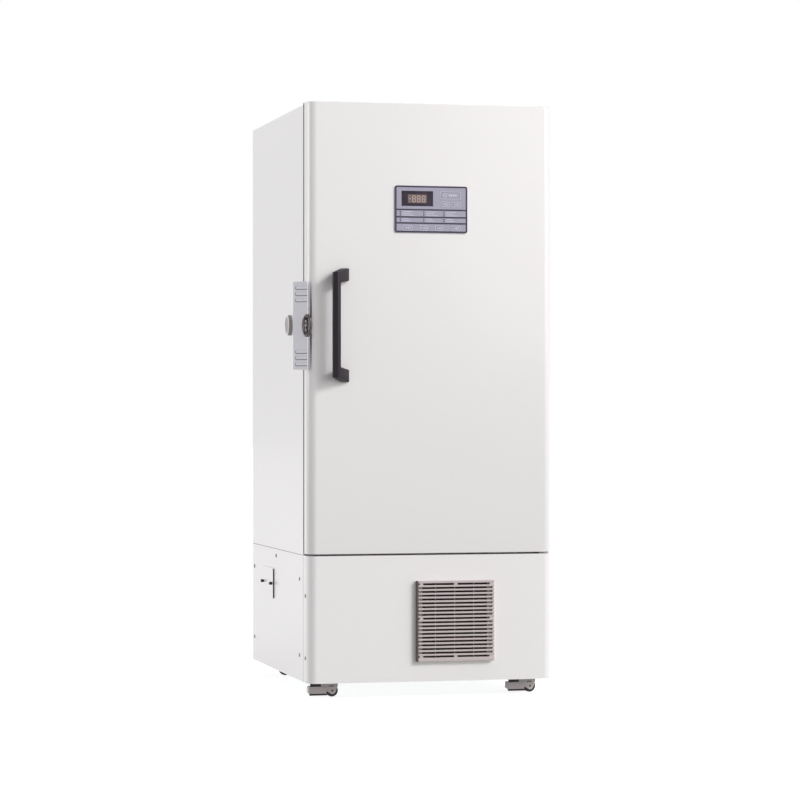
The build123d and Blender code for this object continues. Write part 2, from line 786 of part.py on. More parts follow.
# Dust filter that stands against the panel behind the grille
with BuildPart() as condenser_filter:
    with BuildSketch(Plane.XZ.offset(-front - sheet)):
        with Locations((grille_x, slots_z)):
            Rectangle(slot_width + 2 * filter_margin, slot_stack + 2 * filter_margin)
    extrude(amount=-filter_thick)
write(condenser_filter, "condenser_filter")

# Welded base: a floor pan, corner posts, a deck under the insulated box and the casters' plates
frame_half = half - sheet
frame_back = back - sheet
deck_bottom = box_bottom - deck_thick
caster_x = half - caster_inset
caster_rows = {"front": front + caster_front, "rear": back - caster_rear}
plate_bottom = base_underside - caster_plate
with BuildPart() as base_frame:
    block(-frame_half, frame_half, box_front, frame_back, base_underside, base_underside + pan_lip)
    block(-frame_half + pan_thick, frame_half - pan_thick, box_front + pan_thick, frame_back - pan_thick,
          base_underside + pan_thick, base_underside + pan_lip, Mode.SUBTRACT)
    block(-frame_half, frame_half, box_front, frame_back, deck_bottom, box_bottom)
    for x_side in (-1, 1):
        for post_y, y_side in ((box_front, 1), (frame_back, -1)):
            wall_x = sorted((x_side * frame_half, x_side * (frame_half - post_thick)))
            long_x = sorted((x_side * frame_half, x_side * (frame_half - post_side)))
            wall_y = sorted((post_y, post_y + y_side * post_thick))
            long_y = sorted((post_y, post_y + y_side * post_side))
            block(*wall_x, *long_y, base_underside, box_bottom)
            block(*long_x, *wall_y, base_underside, box_bottom)
        for caster_y in caster_rows.values():
            with Locations((x_side * caster_x, caster_y, plate_bottom + caster_plate / 2)):
                Box(caster_plate_side, caster_plate_side, caster_plate)
            rod((x_side * caster_x, caster_y, plate_bottom), swivel_pin_radius + run_clear,
                caster_plate + pan_thick, (0, 0, 1), Mode.SUBTRACT)
write(base_frame, "base_frame")


def side_panel(side):
    """A side sheet of the machine compartment with returns at its lower and rear edges."""
    x_out = side * half
    x_in = side * (half - sheet)
    x_return = side * (half - sheet - panel_return)
    with BuildPart() as panel:
        block(*sorted((x_out, x_in)), box_front, back, skirt_bottom, box_bottom)
        block(*sorted((x_in, x_return)), box_front, back - sheet, skirt_bottom, skirt_bottom + sheet)
    return panel


machine_panel_right = side_panel(1)
write(machine_panel_right, "machine_panel_right")

machine_panel_left = side_panel(-1)
hatch_front = front + hatch_behind
with machine_panel_left:
    block(-half, -half + sheet, hatch_front + hatch_overlap, hatch_front + hatch_length - hatch_overlap,
          hatch_bottom + hatch_overlap, hatch_bottom + hatch_height - hatch_overlap, Mode.SUBTRACT)
write(machine_panel_left, "machine_panel_left")

# Service hatch on the left side and the two knobs that hold it
with BuildPart() as side_hatch:
    block(-half - hatch_thick, -half, hatch_front, hatch_front + hatch_length,
          hatch_bottom, hatch_bottom + hatch_height)
    fillet(side_hatch.edges().filter_by(Axis.X), hatch_thick)
    chamfer(side_hatch.faces().sort_by(Axis.X)[0].edges(), hatch_thick / 4)
write(side_hatch, "side_hatch")

with BuildPart() as hatch_knobs:
    for knob_y in (hatch_front + hatch_knob_inset, hatch_front + hatch_length - hatch_knob_inset):
        rod((-half - hatch_thick, knob_y, hatch_bottom + hatch_height / 2), hatch_knob_radius,
            hatch_knob_out, (-1, 0, 0))
write(hatch_knobs, "hatch_knobs")

# Rear cover of the machine compartment, with rows of air slots
inlet_x = half - inlet_from_side
inlet_edge = inlet_x - inlet_width / 2 - inlet_flange
rear_slot_pitch = 2 * (inlet_edge - rear_slot_margin) / rear_slot_columns
with BuildPart() as machine_panel_rear:
    with BuildSketch(Plane.XZ.offset(-back)):
        with Locations((0, (skirt_bottom + box_bottom) / 2)):
            Rectangle(2 * frame_half, box_bottom - skirt_bottom)
            with GridLocations(rear_slot_pitch, rear_slot_rise, rear_slot_columns, rear_slot_rows):
                SlotOverall(rear_slot_pitch - rear_slot_bridge, rear_slot_height, mode=Mode.SUBTRACT)
            with Locations((inlet_x, 0)):
                Rectangle(inlet_width, inlet_height, mode=Mode.SUBTRACT)
    extrude(amount=sheet)
write(machine_panel_rear, "machine_panel_rear")

# Mains inlet: a socket set in the rear cover
with BuildPart() as mains_inlet:
    inlet_z = (skirt_bottom + box_bottom) / 2
    with BuildSketch(Plane.XZ.offset(-back)):
        with Locations((inlet_x, inlet_z)):
            Rectangle(inlet_width + 2 * inlet_flange, inlet_height + 2 * inlet_flange)
    extrude(amount=-sheet)
    with BuildSketch(Plane.XZ.offset(-back)):
        with Locations((inlet_x, inlet_z)):
            Rectangle(inlet_width, inlet_height)
    extrude(amount=inlet_depth)
    with BuildSketch(Plane.XZ.offset(-back - sheet)):
        with Locations((inlet_x, inlet_z)):
            Rectangle(inlet_width - inlet_pocket, inlet_height - inlet_pocket)
    extrude(amount=inlet_depth - inlet_pocket, mode=Mode.SUBTRACT)
write(mains_inlet, "mains_inlet")

# Round screw heads that hold the lower panels on both sides
screw_places = [
    (front + pan_screw_behind, skirt_bottom + pan_screw_low),
    (front + pan_screw_behind, skirt_bottom + pan_screw_high),
    (hatch_front - top_screw_ahead, box_bottom - top_screw_below),
]
for screw_y in (box_front + side_screw_front, back - side_screw_rear):
    screw_places += [(screw_y, skirt_bottom + side_screw_low), (screw_y, skirt_bottom + side_screw_high)]
with BuildPart() as panel_screws:
    for side in (-1, 1):
        for screw_y, screw_z in screw_places:
            rod((side * half, screw_y, screw_z), screw_radius, screw_head, (side, 0, 0))
write(panel_screws, "panel_screws")

# Condenser: a finned core between two end plates that stand on the floor pan
pan_top = base_underside + pan_thick
with BuildPart() as condenser:
    core_x0 = grille_x - condenser_width / 2
    condenser_y0 = box_front + pan_thick
    core_y = (condenser_y0, condenser_y0 + condenser_depth)
    core_z = (pan_top, pan_top + condenser_height)
    for end_x in (core_x0 - fin_thick, core_x0 + condenser_width):
        block(end_x, end_x + fin_thick, *core_y, *core_z)
    inset = condenser_depth / 8
    block(core_x0, core_x0 + condenser_width, core_y[0] + 3 * inset, core_y[1] - 3 * inset,
          core_z[0] + inset, core_z[1] - inset)
    with BuildSketch(Plane.XY.offset(core_z[0] + inset)):
        with Locations((grille_x, (core_y[0] + core_y[1]) / 2)):
            with GridLocations(condenser_width / (fin_count + 1), 0, fin_count, 1):
                Rectangle(fin_thick, condenser_depth - 2 * inset)
    extrude(amount=condenser_height - 2 * inset)
write(condenser, "condenser")

# Fan behind the condenser, and its motor on a pedestal
fan_axis = (grille_x, pan_top + condenser_height / 2)
fan_front = core_y[1] + fan_gap
with BuildPart() as fan_blades:
    hub_start = (fan_axis[0], fan_front, fan_axis[1])
    rod(hub_start, fan_hub_radius, fan_hub_length, (0, 1, 0))
    blade_reach = fan_radius - fan_hub_radius
    hub_mid = (fan_axis[0], fan_front + fan_hub_length / 2, fan_axis[1])
    for blade in range(blade_count):
        spread = 360 * blade / blade_count
        blade_plane = Plane(origin=hub_mid, x_dir=(0, 1, 0),
                            z_dir=(cos(radians(spread)), 0, sin(radians(spread))))
        with BuildSketch(blade_plane.offset(fan_hub_radius - blade_thick)):
            Rectangle(blade_width * cos(radians(blade_pitch)), blade_thick, rotation=blade_pitch)
        extrude(amount=blade_reach + blade_thick)
    rod(hub_start, motor_shaft_radius + run_clear, fan_hub_length, (0, 1, 0), Mode.SUBTRACT)
write(fan_blades, "fan_blades")

with BuildPart() as fan_motor:
    motor_front = fan_front + fan_hub_length + motor_gap
    rod((fan_axis[0], motor_front, fan_axis[1]), motor_radius, motor_length, (0, 1, 0))
    fillet(fan_motor.edges().filter_by(GeomType.CIRCLE), motor_radius / 8)
    rod((fan_axis[0], fan_front, fan_axis[1]), motor_shaft_radius, fan_hub_length + motor_gap, (0, 1, 0))
    block(fan_axis[0] - motor_radius, fan_axis[0] + motor_radius,
          motor_front + motor_length / 4, motor_front + 3 * motor_length / 4, pan_top, pan_top + foot_thick)
    block(fan_axis[0] - motor_radius / 2, fan_axis[0] + motor_radius / 2,
          motor_front + motor_length / 4, motor_front + motor_length / 4 + foot_thick,
          pan_top, fan_axis[1])
write(fan_motor, "fan_motor")


# Two hermetic compressors, one for each stage: domed cans on square feet
compressor_rear = back - compressor_from_back
with BuildPart() as compressors:
    x = compressor_from_side - half
    for y in (compressor_rear - compressor_pitch, compressor_rear):
        with Locations((x, y, pan_top + foot_thick / 2)):
            Box(compressor_foot, compressor_foot, foot_thick)
        rod((x, y, pan_top + foot_thick), compressor_radius, compressor_height, (0, 0, 1))
    fillet(compressors.edges().filter_by(GeomType.CIRCLE).group_by(Axis.Z)[-1], compressor_dome)
    fillet(compressors.edges().filter_by(Axis.Z).filter_by(GeomType.LINE).group_by(SortBy.LENGTH)[0],
           compressor_foot / 10)
write(compressors, "compressors")

# Cascade heat exchanger and the box of the electrical controls
with BuildPart() as cascade_exchanger:
    with Locations((exchanger_x, back - exchanger_from_back, pan_top + exchanger_height / 2)):
        Box(exchanger_width, exchanger_depth, exchanger_height)
    fillet(cascade_exchanger.edges().filter_by(Axis.Z), exchanger_radius)
    fillet(cascade_exchanger.faces().sort_by(Axis.Z)[-1].edges(), exchanger_dome)
write(cascade_exchanger, "cascade_exchanger")

with BuildPart() as control_box:
    control_right = half - control_from_side
    control_front = front + control_behind
    block(control_right - control_width, control_right, control_front, control_front + control_depth,
          pan_top, pan_top + control_height)
    fillet(control_box.edges().filter_by(Axis.Z), control_radius)
write(control_box, "control_box")

# Four swivel casters: the fork turns in the base, the wheel turns in the fork, brakes at the front
axle_z = wheel_radius
fork_half = wheel_width / 2 + fork_clear + fork_cheek
pedal_z = (fork_top + axle_z) / 2
for row, caster_y in caster_rows.items():
    for side_name, caster_side in (("left", -1), ("right", 1)):
        place = f"{row}_{side_name}"
        x = caster_side * caster_x
        axle_x = x + wheel_trail
        with BuildPart() as fork:
            with BuildSketch(Plane.XZ.offset(-caster_y - fork_half)):
                with BuildLine():
                    Polyline(
                        (x - caster_boss_radius, fork_top),
                        (x - caster_boss_radius, fork_shoulder),
                        (x - fork_toe, axle_z - fork_toe),
                        (axle_x, axle_z - fork_reach),
                        (axle_x + fork_reach, axle_z),
                        (x + fork_heel, fork_top),
                        close=True,
                    )
                make_face()
                with Locations((axle_x, axle_z)):
                    Circle(fork_reach)
            extrude(amount=2 * fork_half)
            rod((x, caster_y, fork_top), caster_boss_radius, plate_bottom - caster_gap - fork_top, (0, 0, 1))
            rod((x, caster_y, fork_top), swivel_pin_radius,
                plate_bottom + caster_plate + pan_thick - fork_top, (0, 0, 1))
            rod((axle_x, caster_y - wheel_width / 2 - fork_clear, axle_z), wheel_radius + 2 * fork_clear,
                wheel_width + 2 * fork_clear, (0, 1, 0), Mode.SUBTRACT)
            rod((axle_x, caster_y - fork_half - bolt_head, axle_z), axle_radius,
                2 * (fork_half + bolt_head), (0, 1, 0))
            if row == "front":
                pivot_x = x - caster_boss_radius - pedal_pivot
                block(pivot_x, x - caster_boss_radius, caster_y - pedal_lug, caster_y + pedal_lug,
                      pedal_z - pedal_lug, pedal_z + pedal_lug)
                rod((pivot_x, caster_y - pedal_lug, pedal_z), pedal_lug, 2 * pedal_lug, (0, 1, 0))
                rod((pivot_x, caster_y - fork_half, pedal_z), pedal_pin_radius, 2 * fork_half, (0, 1, 0))
        write(fork, f"caster_fork_{place}")
        with BuildPart() as wheel:
            rod((axle_x, caster_y - wheel_width / 2, axle_z), wheel_radius, wheel_width, (0, 1, 0))
            fillet(wheel.edges().filter_by(GeomType.CIRCLE), hub_side)
            rod((axle_x, caster_y - wheel_width / 2, axle_z), axle_radius + run_clear, wheel_width,
                (0, 1, 0), Mode.SUBTRACT)
        write(wheel, f"caster_wheel_{place}")
        if row == "front":
            pivot_x = x - caster_boss_radius - pedal_pivot
            with BuildPart() as pedal:
                block(pivot_x - pedal_length, pivot_x - pedal_clear,
                      caster_y - fork_half, caster_y + fork_half,
                      pedal_z - pedal_drop, pedal_z - pedal_thick)
                tread_front = pedal.edges().filter_by(Axis.Z).group_by(Axis.X)[0]
                fillet(tread_front, pedal_corner)
                fillet(pedal.faces().sort_by(Axis.Z)[0].edges(), pedal_round)
                rod((pivot_x, caster_y - fork_half, pedal_z), pedal_thick, 2 * fork_half, (0, 1, 0))
                block(pivot_x - pedal_thick, pivot_x, caster_y - fork_half, caster_y + fork_half,
                      pedal_z - 2 * pedal_thick, pedal_z)
                rod((pivot_x, caster_y - fork_half, pedal_z), pedal_pin_radius + run_clear, 2 * fork_half,
                    (0, 1, 0), Mode.SUBTRACT)
                lug_half = pedal_lug + pedal_clear
                block(pivot_x - pedal_thick - pedal_clear, pivot_x + pedal_thick + pedal_clear,
                      caster_y - lug_half, caster_y + lug_half,
                      pedal_z - 2 * pedal_thick, pedal_z + 2 * pedal_thick, Mode.SUBTRACT)
            write(pedal, f"caster_brake_{place}")
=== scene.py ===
import json
import math

import bmesh
import bpy
from mathutils import Matrix, Vector, geometry


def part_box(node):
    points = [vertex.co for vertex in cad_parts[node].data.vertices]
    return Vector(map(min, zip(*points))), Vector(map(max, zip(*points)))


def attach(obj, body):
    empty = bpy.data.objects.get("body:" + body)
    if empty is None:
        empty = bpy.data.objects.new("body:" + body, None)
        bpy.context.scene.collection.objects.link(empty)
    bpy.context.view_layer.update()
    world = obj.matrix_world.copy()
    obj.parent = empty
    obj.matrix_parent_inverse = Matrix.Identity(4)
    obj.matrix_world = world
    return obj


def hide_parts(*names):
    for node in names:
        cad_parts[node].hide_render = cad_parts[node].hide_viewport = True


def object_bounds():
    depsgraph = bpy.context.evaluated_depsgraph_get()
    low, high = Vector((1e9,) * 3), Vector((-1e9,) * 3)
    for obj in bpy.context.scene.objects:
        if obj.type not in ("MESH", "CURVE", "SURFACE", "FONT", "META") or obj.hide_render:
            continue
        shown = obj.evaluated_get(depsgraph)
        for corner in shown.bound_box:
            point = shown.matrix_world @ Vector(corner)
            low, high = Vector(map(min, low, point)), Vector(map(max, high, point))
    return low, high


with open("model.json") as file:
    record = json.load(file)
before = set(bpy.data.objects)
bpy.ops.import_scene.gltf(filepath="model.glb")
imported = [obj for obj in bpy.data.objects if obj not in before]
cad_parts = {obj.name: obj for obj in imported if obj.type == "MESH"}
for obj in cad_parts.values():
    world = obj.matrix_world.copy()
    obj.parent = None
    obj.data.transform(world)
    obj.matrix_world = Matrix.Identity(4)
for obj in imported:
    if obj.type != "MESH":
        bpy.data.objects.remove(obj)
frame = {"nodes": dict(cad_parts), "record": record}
cad_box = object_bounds()
nodes = frame["nodes"]
MM = 0.001


# Colour and node helpers

def linear(hex_code):
    """A colour written as sRGB hex, as linear RGBA."""
    values = [int(hex_code[i:i + 2], 16) / 255 for i in (1, 3, 5)]
    return [v / 12.92 if v <= 0.04045 else ((v + 0.055) / 1.055) ** 2.4 for v in values] + [1.0]


def add(tree, kind, links=None, sockets=None):
    """Add a node, set its sockets, and link its inputs to other nodes' outputs."""
    node = tree.nodes.new(kind)
    for name, value in (sockets or {}).items():
        node.inputs[name].default_value = value
    for name, source in (links or {}).items():
        tree.links.new(source, node.inputs[name])
    return node


def per_mm(size):
    """A texture scale whose features are about this many millimetres across."""
    return 1000.0 / size


def start_material(name, **sockets):
    """A material with a bare Principled shader and Object coordinates."""
    made = bpy.data.materials.new(name)
    made.use_nodes = True
    tree = made.node_tree
    tree.nodes.clear()
    shader = add(tree, "ShaderNodeBsdfPrincipled", sockets=sockets)
    add(tree, "ShaderNodeOutputMaterial", links={"Surface": shader.outputs["BSDF"]})
    place = add(tree, "ShaderNodeTexCoord")
    return made, tree, shader, place.outputs["Object"]


# The part of a noise's range that its tones and its gloss are spread over
noise_low, noise_high = 0.3, 0.7


def grain(tree, shader, place, size_mm, bump_mm, tones, rough=None, stretch=(1, 1, 1)):
    """Give a surface its texture: a noise that bumps it, shades it between two tones and varies its gloss."""
    mapped = add(tree, "ShaderNodeMapping", links={"Vector": place}, sockets={"Scale": stretch})
    noise = add(tree, "ShaderNodeTexNoise", links={"Vector": mapped.outputs["Vector"]},
                sockets={"Scale": per_mm(size_mm), "Detail": 3.0, "Roughness": 0.55})
    height = noise.outputs["Fac"]
    ramp = add(tree, "ShaderNodeValToRGB", links={"Fac": height})
    for element, position, tone in zip(ramp.color_ramp.elements, (noise_low, noise_high), tones):
        element.position = position
        element.color = linear(tone)
    tree.links.new(ramp.outputs["Color"], shader.inputs["Base Color"])
    if bump_mm:
        relief = add(tree, "ShaderNodeBump", links={"Height": height},
                     sockets={"Strength": 1.0, "Distance": bump_mm * MM})
        tree.links.new(relief.outputs["Normal"], shader.inputs["Normal"])
    if rough:
        limits = {"From Min": noise_low, "From Max": noise_high, "To Min": rough[0], "To Max": rough[1]}
        spread = add(tree, "ShaderNodeMapRange", links={"Value": height}, sockets=limits)
        tree.links.new(spread.outputs["Result"], shader.inputs["Roughness"])


# Finishes, each named for what the real surface is

def white_enamel():
    """Powder coated steel sheet: a clean white with a faint orange peel under a clear gloss."""
    gloss = {"Coat Weight": 0.3, "Coat Roughness": 0.12}
    made, tree, shader, place = start_material("white_powder_coat", IOR=1.5, **gloss)
    grain(tree, shader, place, 4.0, 0.012, ("#e5e3e3", "#e7e5e5"), rough=(0.28, 0.34))
    return made


def moulded_plastic(name, dark, light, rough, size_mm=1.2, bump_mm=0.02, shine=0.5):
    """Moulded plastic, lacquer or printed film: a fine spark eroded texture and a soft sheen."""
    made, tree, shader, place = start_material(name, IOR=1.47, **{"Specular IOR Level": shine})
    grain(tree, shader, place, size_mm, bump_mm, (dark, light), rough=rough)
    return made


def brushed_metal(name, dark, light, rough, stretch=(1, 1, 1)):
    """Metal sheet: a fine grain, drawn out to lines along one way where it is brushed."""
    made, tree, shader, place = start_material(name, Metallic=1.0)
    grain(tree, shader, place, 1.5, 0.006, (dark, light), rough=rough, stretch=stretch)
    return made


def smoked_window():
    """Smoked acrylic over the unlit display: deep glossy near black."""
    made, tree, shader, place = start_material("smoked_acrylic", IOR=1.49, **{"Specular IOR Level": 0.25})
    grain(tree, shader, place, 30.0, 0.0, ("#2a2330", "#332a38"), rough=(0.08, 0.14))
    return made


def rubber(name, dark, light):
    """Moulded rubber: matt with a faint bloom."""
    made, tree, shader, place = start_material(name, IOR=1.52)
    grain(tree, shader, place, 2.0, 0.05, (dark, light), rough=(0.62, 0.8))
    return made


# Sheet steel, foam and the metals inside: a clean bright white, with dull metal and tan foam within
enamel = white_enamel()
white_abs = moulded_plastic("white_abs", "#ecebea", "#f2f1f0", (0.3, 0.42))
foam = moulded_plastic("polyurethane_foam", "#cdb98c", "#e0d0a6", (0.8, 0.95), size_mm=3.0, bump_mm=0.3)
stainless = brushed_metal("brushed_stainless", "#a9abad", "#c2c4c6", (0.24, 0.36), stretch=(1, 1, 40))
copper = brushed_metal("drawn_copper", "#a9653f", "#c07a50", (0.3, 0.42))
galvanised = brushed_metal("galvanised_sheet", "#8f9496", "#aeb2b4", (0.4, 0.55))
fin_aluminium = brushed_metal("mill_aluminium", "#a4a6a8", "#bcbec0", (0.35, 0.5), stretch=(1, 1, 20))
black_enamel = moulded_plastic("black_stove_enamel", "#0c0c0e", "#151517", (0.25, 0.4), size_mm=3.0)
nylon = moulded_plastic("natural_nylon", "#d8d4c8", "#e4e0d4", (0.4, 0.5))

# Handle, latch, lock, screws and port: near black and pale grey against the white, and darker metal
handle_black = moulded_plastic("black_nylon", "#19131b", "#211b23", (0.34, 0.44), shine=0.25)
# Also used for flat black patches painted as the shade in the key slot and the screws' cross recesses
black_plastic = moulded_plastic("black_abs_and_recess_shade", "#161416", "#1f1c1e", (0.4, 0.55))
latch_grey = moulded_plastic("grey_lacquered_zinc", "#dcdbe4", "#e3e2ea", (0.4, 0.5), shine=0.4)
# Flat grey-violet patches painted as the shadow under the lever's ribs
rib_shade_paint = moulded_plastic("painted_shadow_under_ribs", "#605f69", "#696872", (0.5, 0.6), shine=0.3)
zinc_plate = brushed_metal("zinc_plated_steel", "#6f6d6f", "#858385", (0.4, 0.55))
dark_chrome = brushed_metal("dark_nickel", "#4a4546", "#6a6566", (0.16, 0.28))
# A grey that is partly painted shade, darkening the rim round the vent's white cap
port_rim_shade_grey = moulded_plastic("grey_port_rim_shade", "#979393", "#a09c9c", (0.4, 0.5))

# Seals, joints, grille and casters: warm greys, soft dark joint lines that part the white sheets, and dark strips
# painted as the shade in gaps and on the grille's side
seal_rubber = rubber("grey_silicone", "#8f8a88", "#a19b98")
# Painted gap shade: a seal lip in the door's gap and a strip along the hatch's edge, both made dark
gap_shade_rubber = rubber("gap_shade_silicone", "#2f2a29", "#393332")
joint_grey = rubber("joint_sealant", "#6d6867", "#787271")
# A dark brown painted as the shaded left wall of the grille
grille_side_shade = rubber("grille_side_painted_shade", "#4c4342", "#574d4c")
grille_grey = moulded_plastic("warm_grey_abs", "#bdb2b2", "#c6bbbb", (0.42, 0.54), shine=0.35)
filter_mesh = moulded_plastic("filter_mesh", "#2a2627", "#3a3536", (0.7, 0.9), size_mm=2.0, bump_mm=0.4)
caster_grey = moulded_plastic("caster_grey_nylon", "#c2bab9", "#cdc5c4", (0.38, 0.5))
# Dark brown patches painted as the shade in the caster slots; the axle pins share this brown
slot_shade_and_pin_brown = moulded_plastic("shaded_slot", "#4a4042", "#54494b", (0.5, 0.6), shine=0.3)
wheel_black = rubber("black_polyurethane", "#161416", "#221f20")

# Control panel: a cool lavender with dark print and pale signs round a smoked display
overlay = moulded_plastic("lavender_overlay", "#9a98ab", "#a5a3b6", (0.36, 0.46), size_mm=0.8, bump_mm=0.008)
window = smoked_window()
border_ink = moulded_plastic("printed_ink", "#37313f", "#3f3948", (0.4, 0.5), shine=0.3)
key_line = moulded_plastic("violet_print", "#7c788c", "#858195", (0.4, 0.5))
label_pale = moulded_plastic("pale_print", "#cfcdd9", "#d6d4e0", (0.4, 0.5))
lamp_dark = moulded_plastic("unlit_lamp", "#2f2b3a", "#383444", (0.3, 0.4), shine=0.3)
digit_brown = moulded_plastic("display_filter", "#6a5756", "#75605f", (0.2, 0.3))
digit_beige = moulded_plastic("unlit_segment", "#a99a91", "#b2a299", (0.3, 0.4))
red_lens = moulded_plastic("red_lens", "#77303a", "#803640", (0.2, 0.3))

# The solids take the finish of their slot, apart from a few that show another
finishes = {
    "white_enamel": enamel, "white_plastic": white_abs, "insulation_foam": foam, "stainless_steel": stainless,
    "copper_tube": copper, "galvanised_steel": galvanised, "grey_plastic": grille_grey,
    "black_enamel": black_enamel, "fin_aluminium": fin_aluminium, "black_plastic": black_plastic,
    "seal_rubber": seal_rubber, "nylon": nylon, "lavender_overlay": overlay, "smoked_window": window,
    "latch_grey": latch_grey, "dark_chrome": dark_chrome, "caster_grey": caster_grey,
    "wheel_rubber": wheel_black,
}
# The vent port is shown grey, partly as painted shade on the cap's rim
shown_in = {"condenser_filter": filter_mesh, "latch_base": enamel, "vent_port": port_rim_shade_grey}
slot_of = {part["node"]: part["material_slot"] for part in frame["record"]["subparts"]}
for name, node_object in nodes.items():
    node_object.data.materials.clear()
    node_object.data.materials.append(shown_in.get(name, finishes[slot_of[name]]))


# Mesh helpers

def cube(bm, low, high):
    """A box between two corners."""
    made = bmesh.ops.create_cube(bm, size=1.0)["verts"]
    size = [h - l for l, h in zip(low, high)]
    middle = [(l + h) / 2 for l, h in zip(low, high)]
    bmesh.ops.scale(bm, vec=size, verts=made)
    bmesh.ops.translate(bm, vec=middle, verts=made)
    return made


def edges_along(verts, axis):
    """The edges between these vertices that run along one axis: 0, 1 or 2."""
    chosen = set(verts)
    between = [edge for vert in verts for edge in vert.link_edges if edge.other_vert(vert) in chosen]
    found = []
    for edge in dict.fromkeys(between):
        step = edge.verts[0].co - edge.verts[1].co
        if abs(step[axis]) > 0.99 * step.length:
            found.append(edge)
    return found


def round_edges(bm, edges, radius, segments):
    """Round some edges. An edge may be given more than once."""
    return bmesh.ops.bevel(bm, geom=list(dict.fromkeys(edges)), offset=radius, offset_type="OFFSET",
                           segments=segments, profile=0.5, affect="EDGES", clamp_overlap=True, material=-1)


def prism(bm, outline, start, end, axis=2):
    """Push a flat outline along an axis. Its points are in the plane of the other two axes."""
    verts = []
    for first, second in outline:
        place = [first, second]
        place.insert(axis, start)
        verts.append(bm.verts.new(place))
    face = bm.faces.new(verts)
    pushed = bmesh.ops.extrude_face_region(bm, geom=[face])["geom"]
    moved = [item for item in pushed if isinstance(item, bmesh.types.BMVert)]
    step = [0.0, 0.0, 0.0]
    step[axis] = end - start
    bmesh.ops.translate(bm, vec=step, verts=moved)
    return verts + moved


def disc(bm, centre, axis, radii, depth, segments):
    """A round or oval slab whose back lies at a point and whose front lies along the axis."""
    cone = bmesh.ops.create_cone(bm, cap_ends=True, segments=segments, radius1=1.0, radius2=1.0, depth=1.0)
    made = cone["verts"]
    bmesh.ops.translate(bm, vec=(0, 0, 0.5), verts=made)
    bmesh.ops.scale(bm, vec=(radii[0], radii[1], depth), verts=made)
    turn = Vector(axis).to_track_quat("Z", "Y").to_matrix().to_4x4()
    bmesh.ops.transform(bm, matrix=Matrix.Translation(centre) @ turn, verts=made)
    return made


def end_cap(bm, way):
    """The round or oval cap that lies furthest along a direction."""
    caps = [f for f in bm.faces if len(f.verts) > 8]
    return max(caps, key=lambda f: f.calc_center_median().dot(way))


def step_in(bm, face, way, steps):
    """Turn a cap into rings: each step insets it and moves it along a direction, in millimetres."""
    for inset, rise in steps:
        bmesh.ops.inset_region(bm, faces=[face], thickness=inset * MM, use_even_offset=True, use_boundary=True)
        bmesh.ops.translate(bm, vec=way * rise * MM, verts=face.verts)


def bring_in(bm, part):
    """Move a finished part into a piece's mesh."""
    carried = bpy.data.meshes.new("carried")
    part.to_mesh(carried)
    part.free()
    bm.from_mesh(carried)
    bpy.data.meshes.remove(carried)


# Faces that meet at less than this are shaded as one
smooth_angle = math.radians(35)


def piece(name, bm, finish, body, replaced=()):
    """Close a mesh into a finished piece that rides on a body."""
    bmesh.ops.recalc_face_normals(bm, faces=bm.faces)
    mesh = bpy.data.meshes.new(name)
    bm.to_mesh(mesh)
    bm.free()
    mesh.materials.append(finish)
    mesh.shade_smooth()
    mesh.set_sharp_from_angle(angle=smooth_angle)
    made = bpy.data.objects.new(name, mesh)
    bpy.context.collection.objects.link(made)
    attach(made, body)
    if replaced:
        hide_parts(*replaced)


# Door shell and lower pan, with their folded front corners

corner_radius = 30 * MM
sheet = 1.5 * MM
square = 1.2  # radians between two faces, above which an edge still counts as square
door_low, door_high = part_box("door_skin")
left_side = door_low[0]


def folded_box(bm, low, high):
    """A box whose two upright front edges are folded round."""
    verts = cube(bm, low, high)
    middle = (low[1] + high[1]) / 2
    upright = [e for e in edges_along(verts, 2) if e.verts[0].co.y < middle]
    round_edges(bm, upright, corner_radius, 14)


def door_shell():
    rear = door_high[1] - 0.3 * MM
    bm = bmesh.new()
    folded_box(bm, door_low, (door_high[0], rear, door_high[2]))
    rims = [e for e in bm.edges if e.calc_face_angle(0) > square and all(v.co.y < rear - MM for v in e.verts)]
    round_edges(bm, rims, 1.2 * MM, 3)
    piece("door_shell", bm, enamel, "door", replaced=("door_skin",))


def lower_pan():
    low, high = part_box("lower_front_panel")
    hole_low, hole_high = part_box("condenser_filter")
    lap = 10 * MM
    bm = bmesh.new()
    folded_box(bm, low, high)
    rear_and_under = [f for f in bm.faces if f.normal.y > 0.9 or f.normal.z < -0.9]
    bmesh.ops.delete(bm, geom=rear_and_under, context="FACES")
    across, up = Vector((1, 0, 0)), Vector((0, 0, 1))
    for way, place in ((across, hole_low[0] + lap), (across, hole_high[0] - lap),
                       (up, hole_low[2] + lap), (up, hole_high[2] - lap)):
        everything = bm.verts[:] + bm.edges[:] + bm.faces[:]
        bmesh.ops.bisect_plane(bm, geom=everything, plane_co=way * place, plane_no=way)
    hole = [f for f in bm.faces if f.normal.y < -0.9
            and hole_low[0] < f.calc_center_median().x < hole_high[0]
            and hole_low[2] < f.calc_center_median().z < hole_high[2]]
    bmesh.ops.delete(bm, geom=hole, context="FACES")
    bmesh.ops.solidify(bm, geom=bm.faces[:], thickness=sheet)
    piece("lower_pan", bm, enamel, "cabinet", replaced=("lower_front_panel",))


# Pull handle: a ridged bar on two arms that lean back and spread to their feet, with softened edges

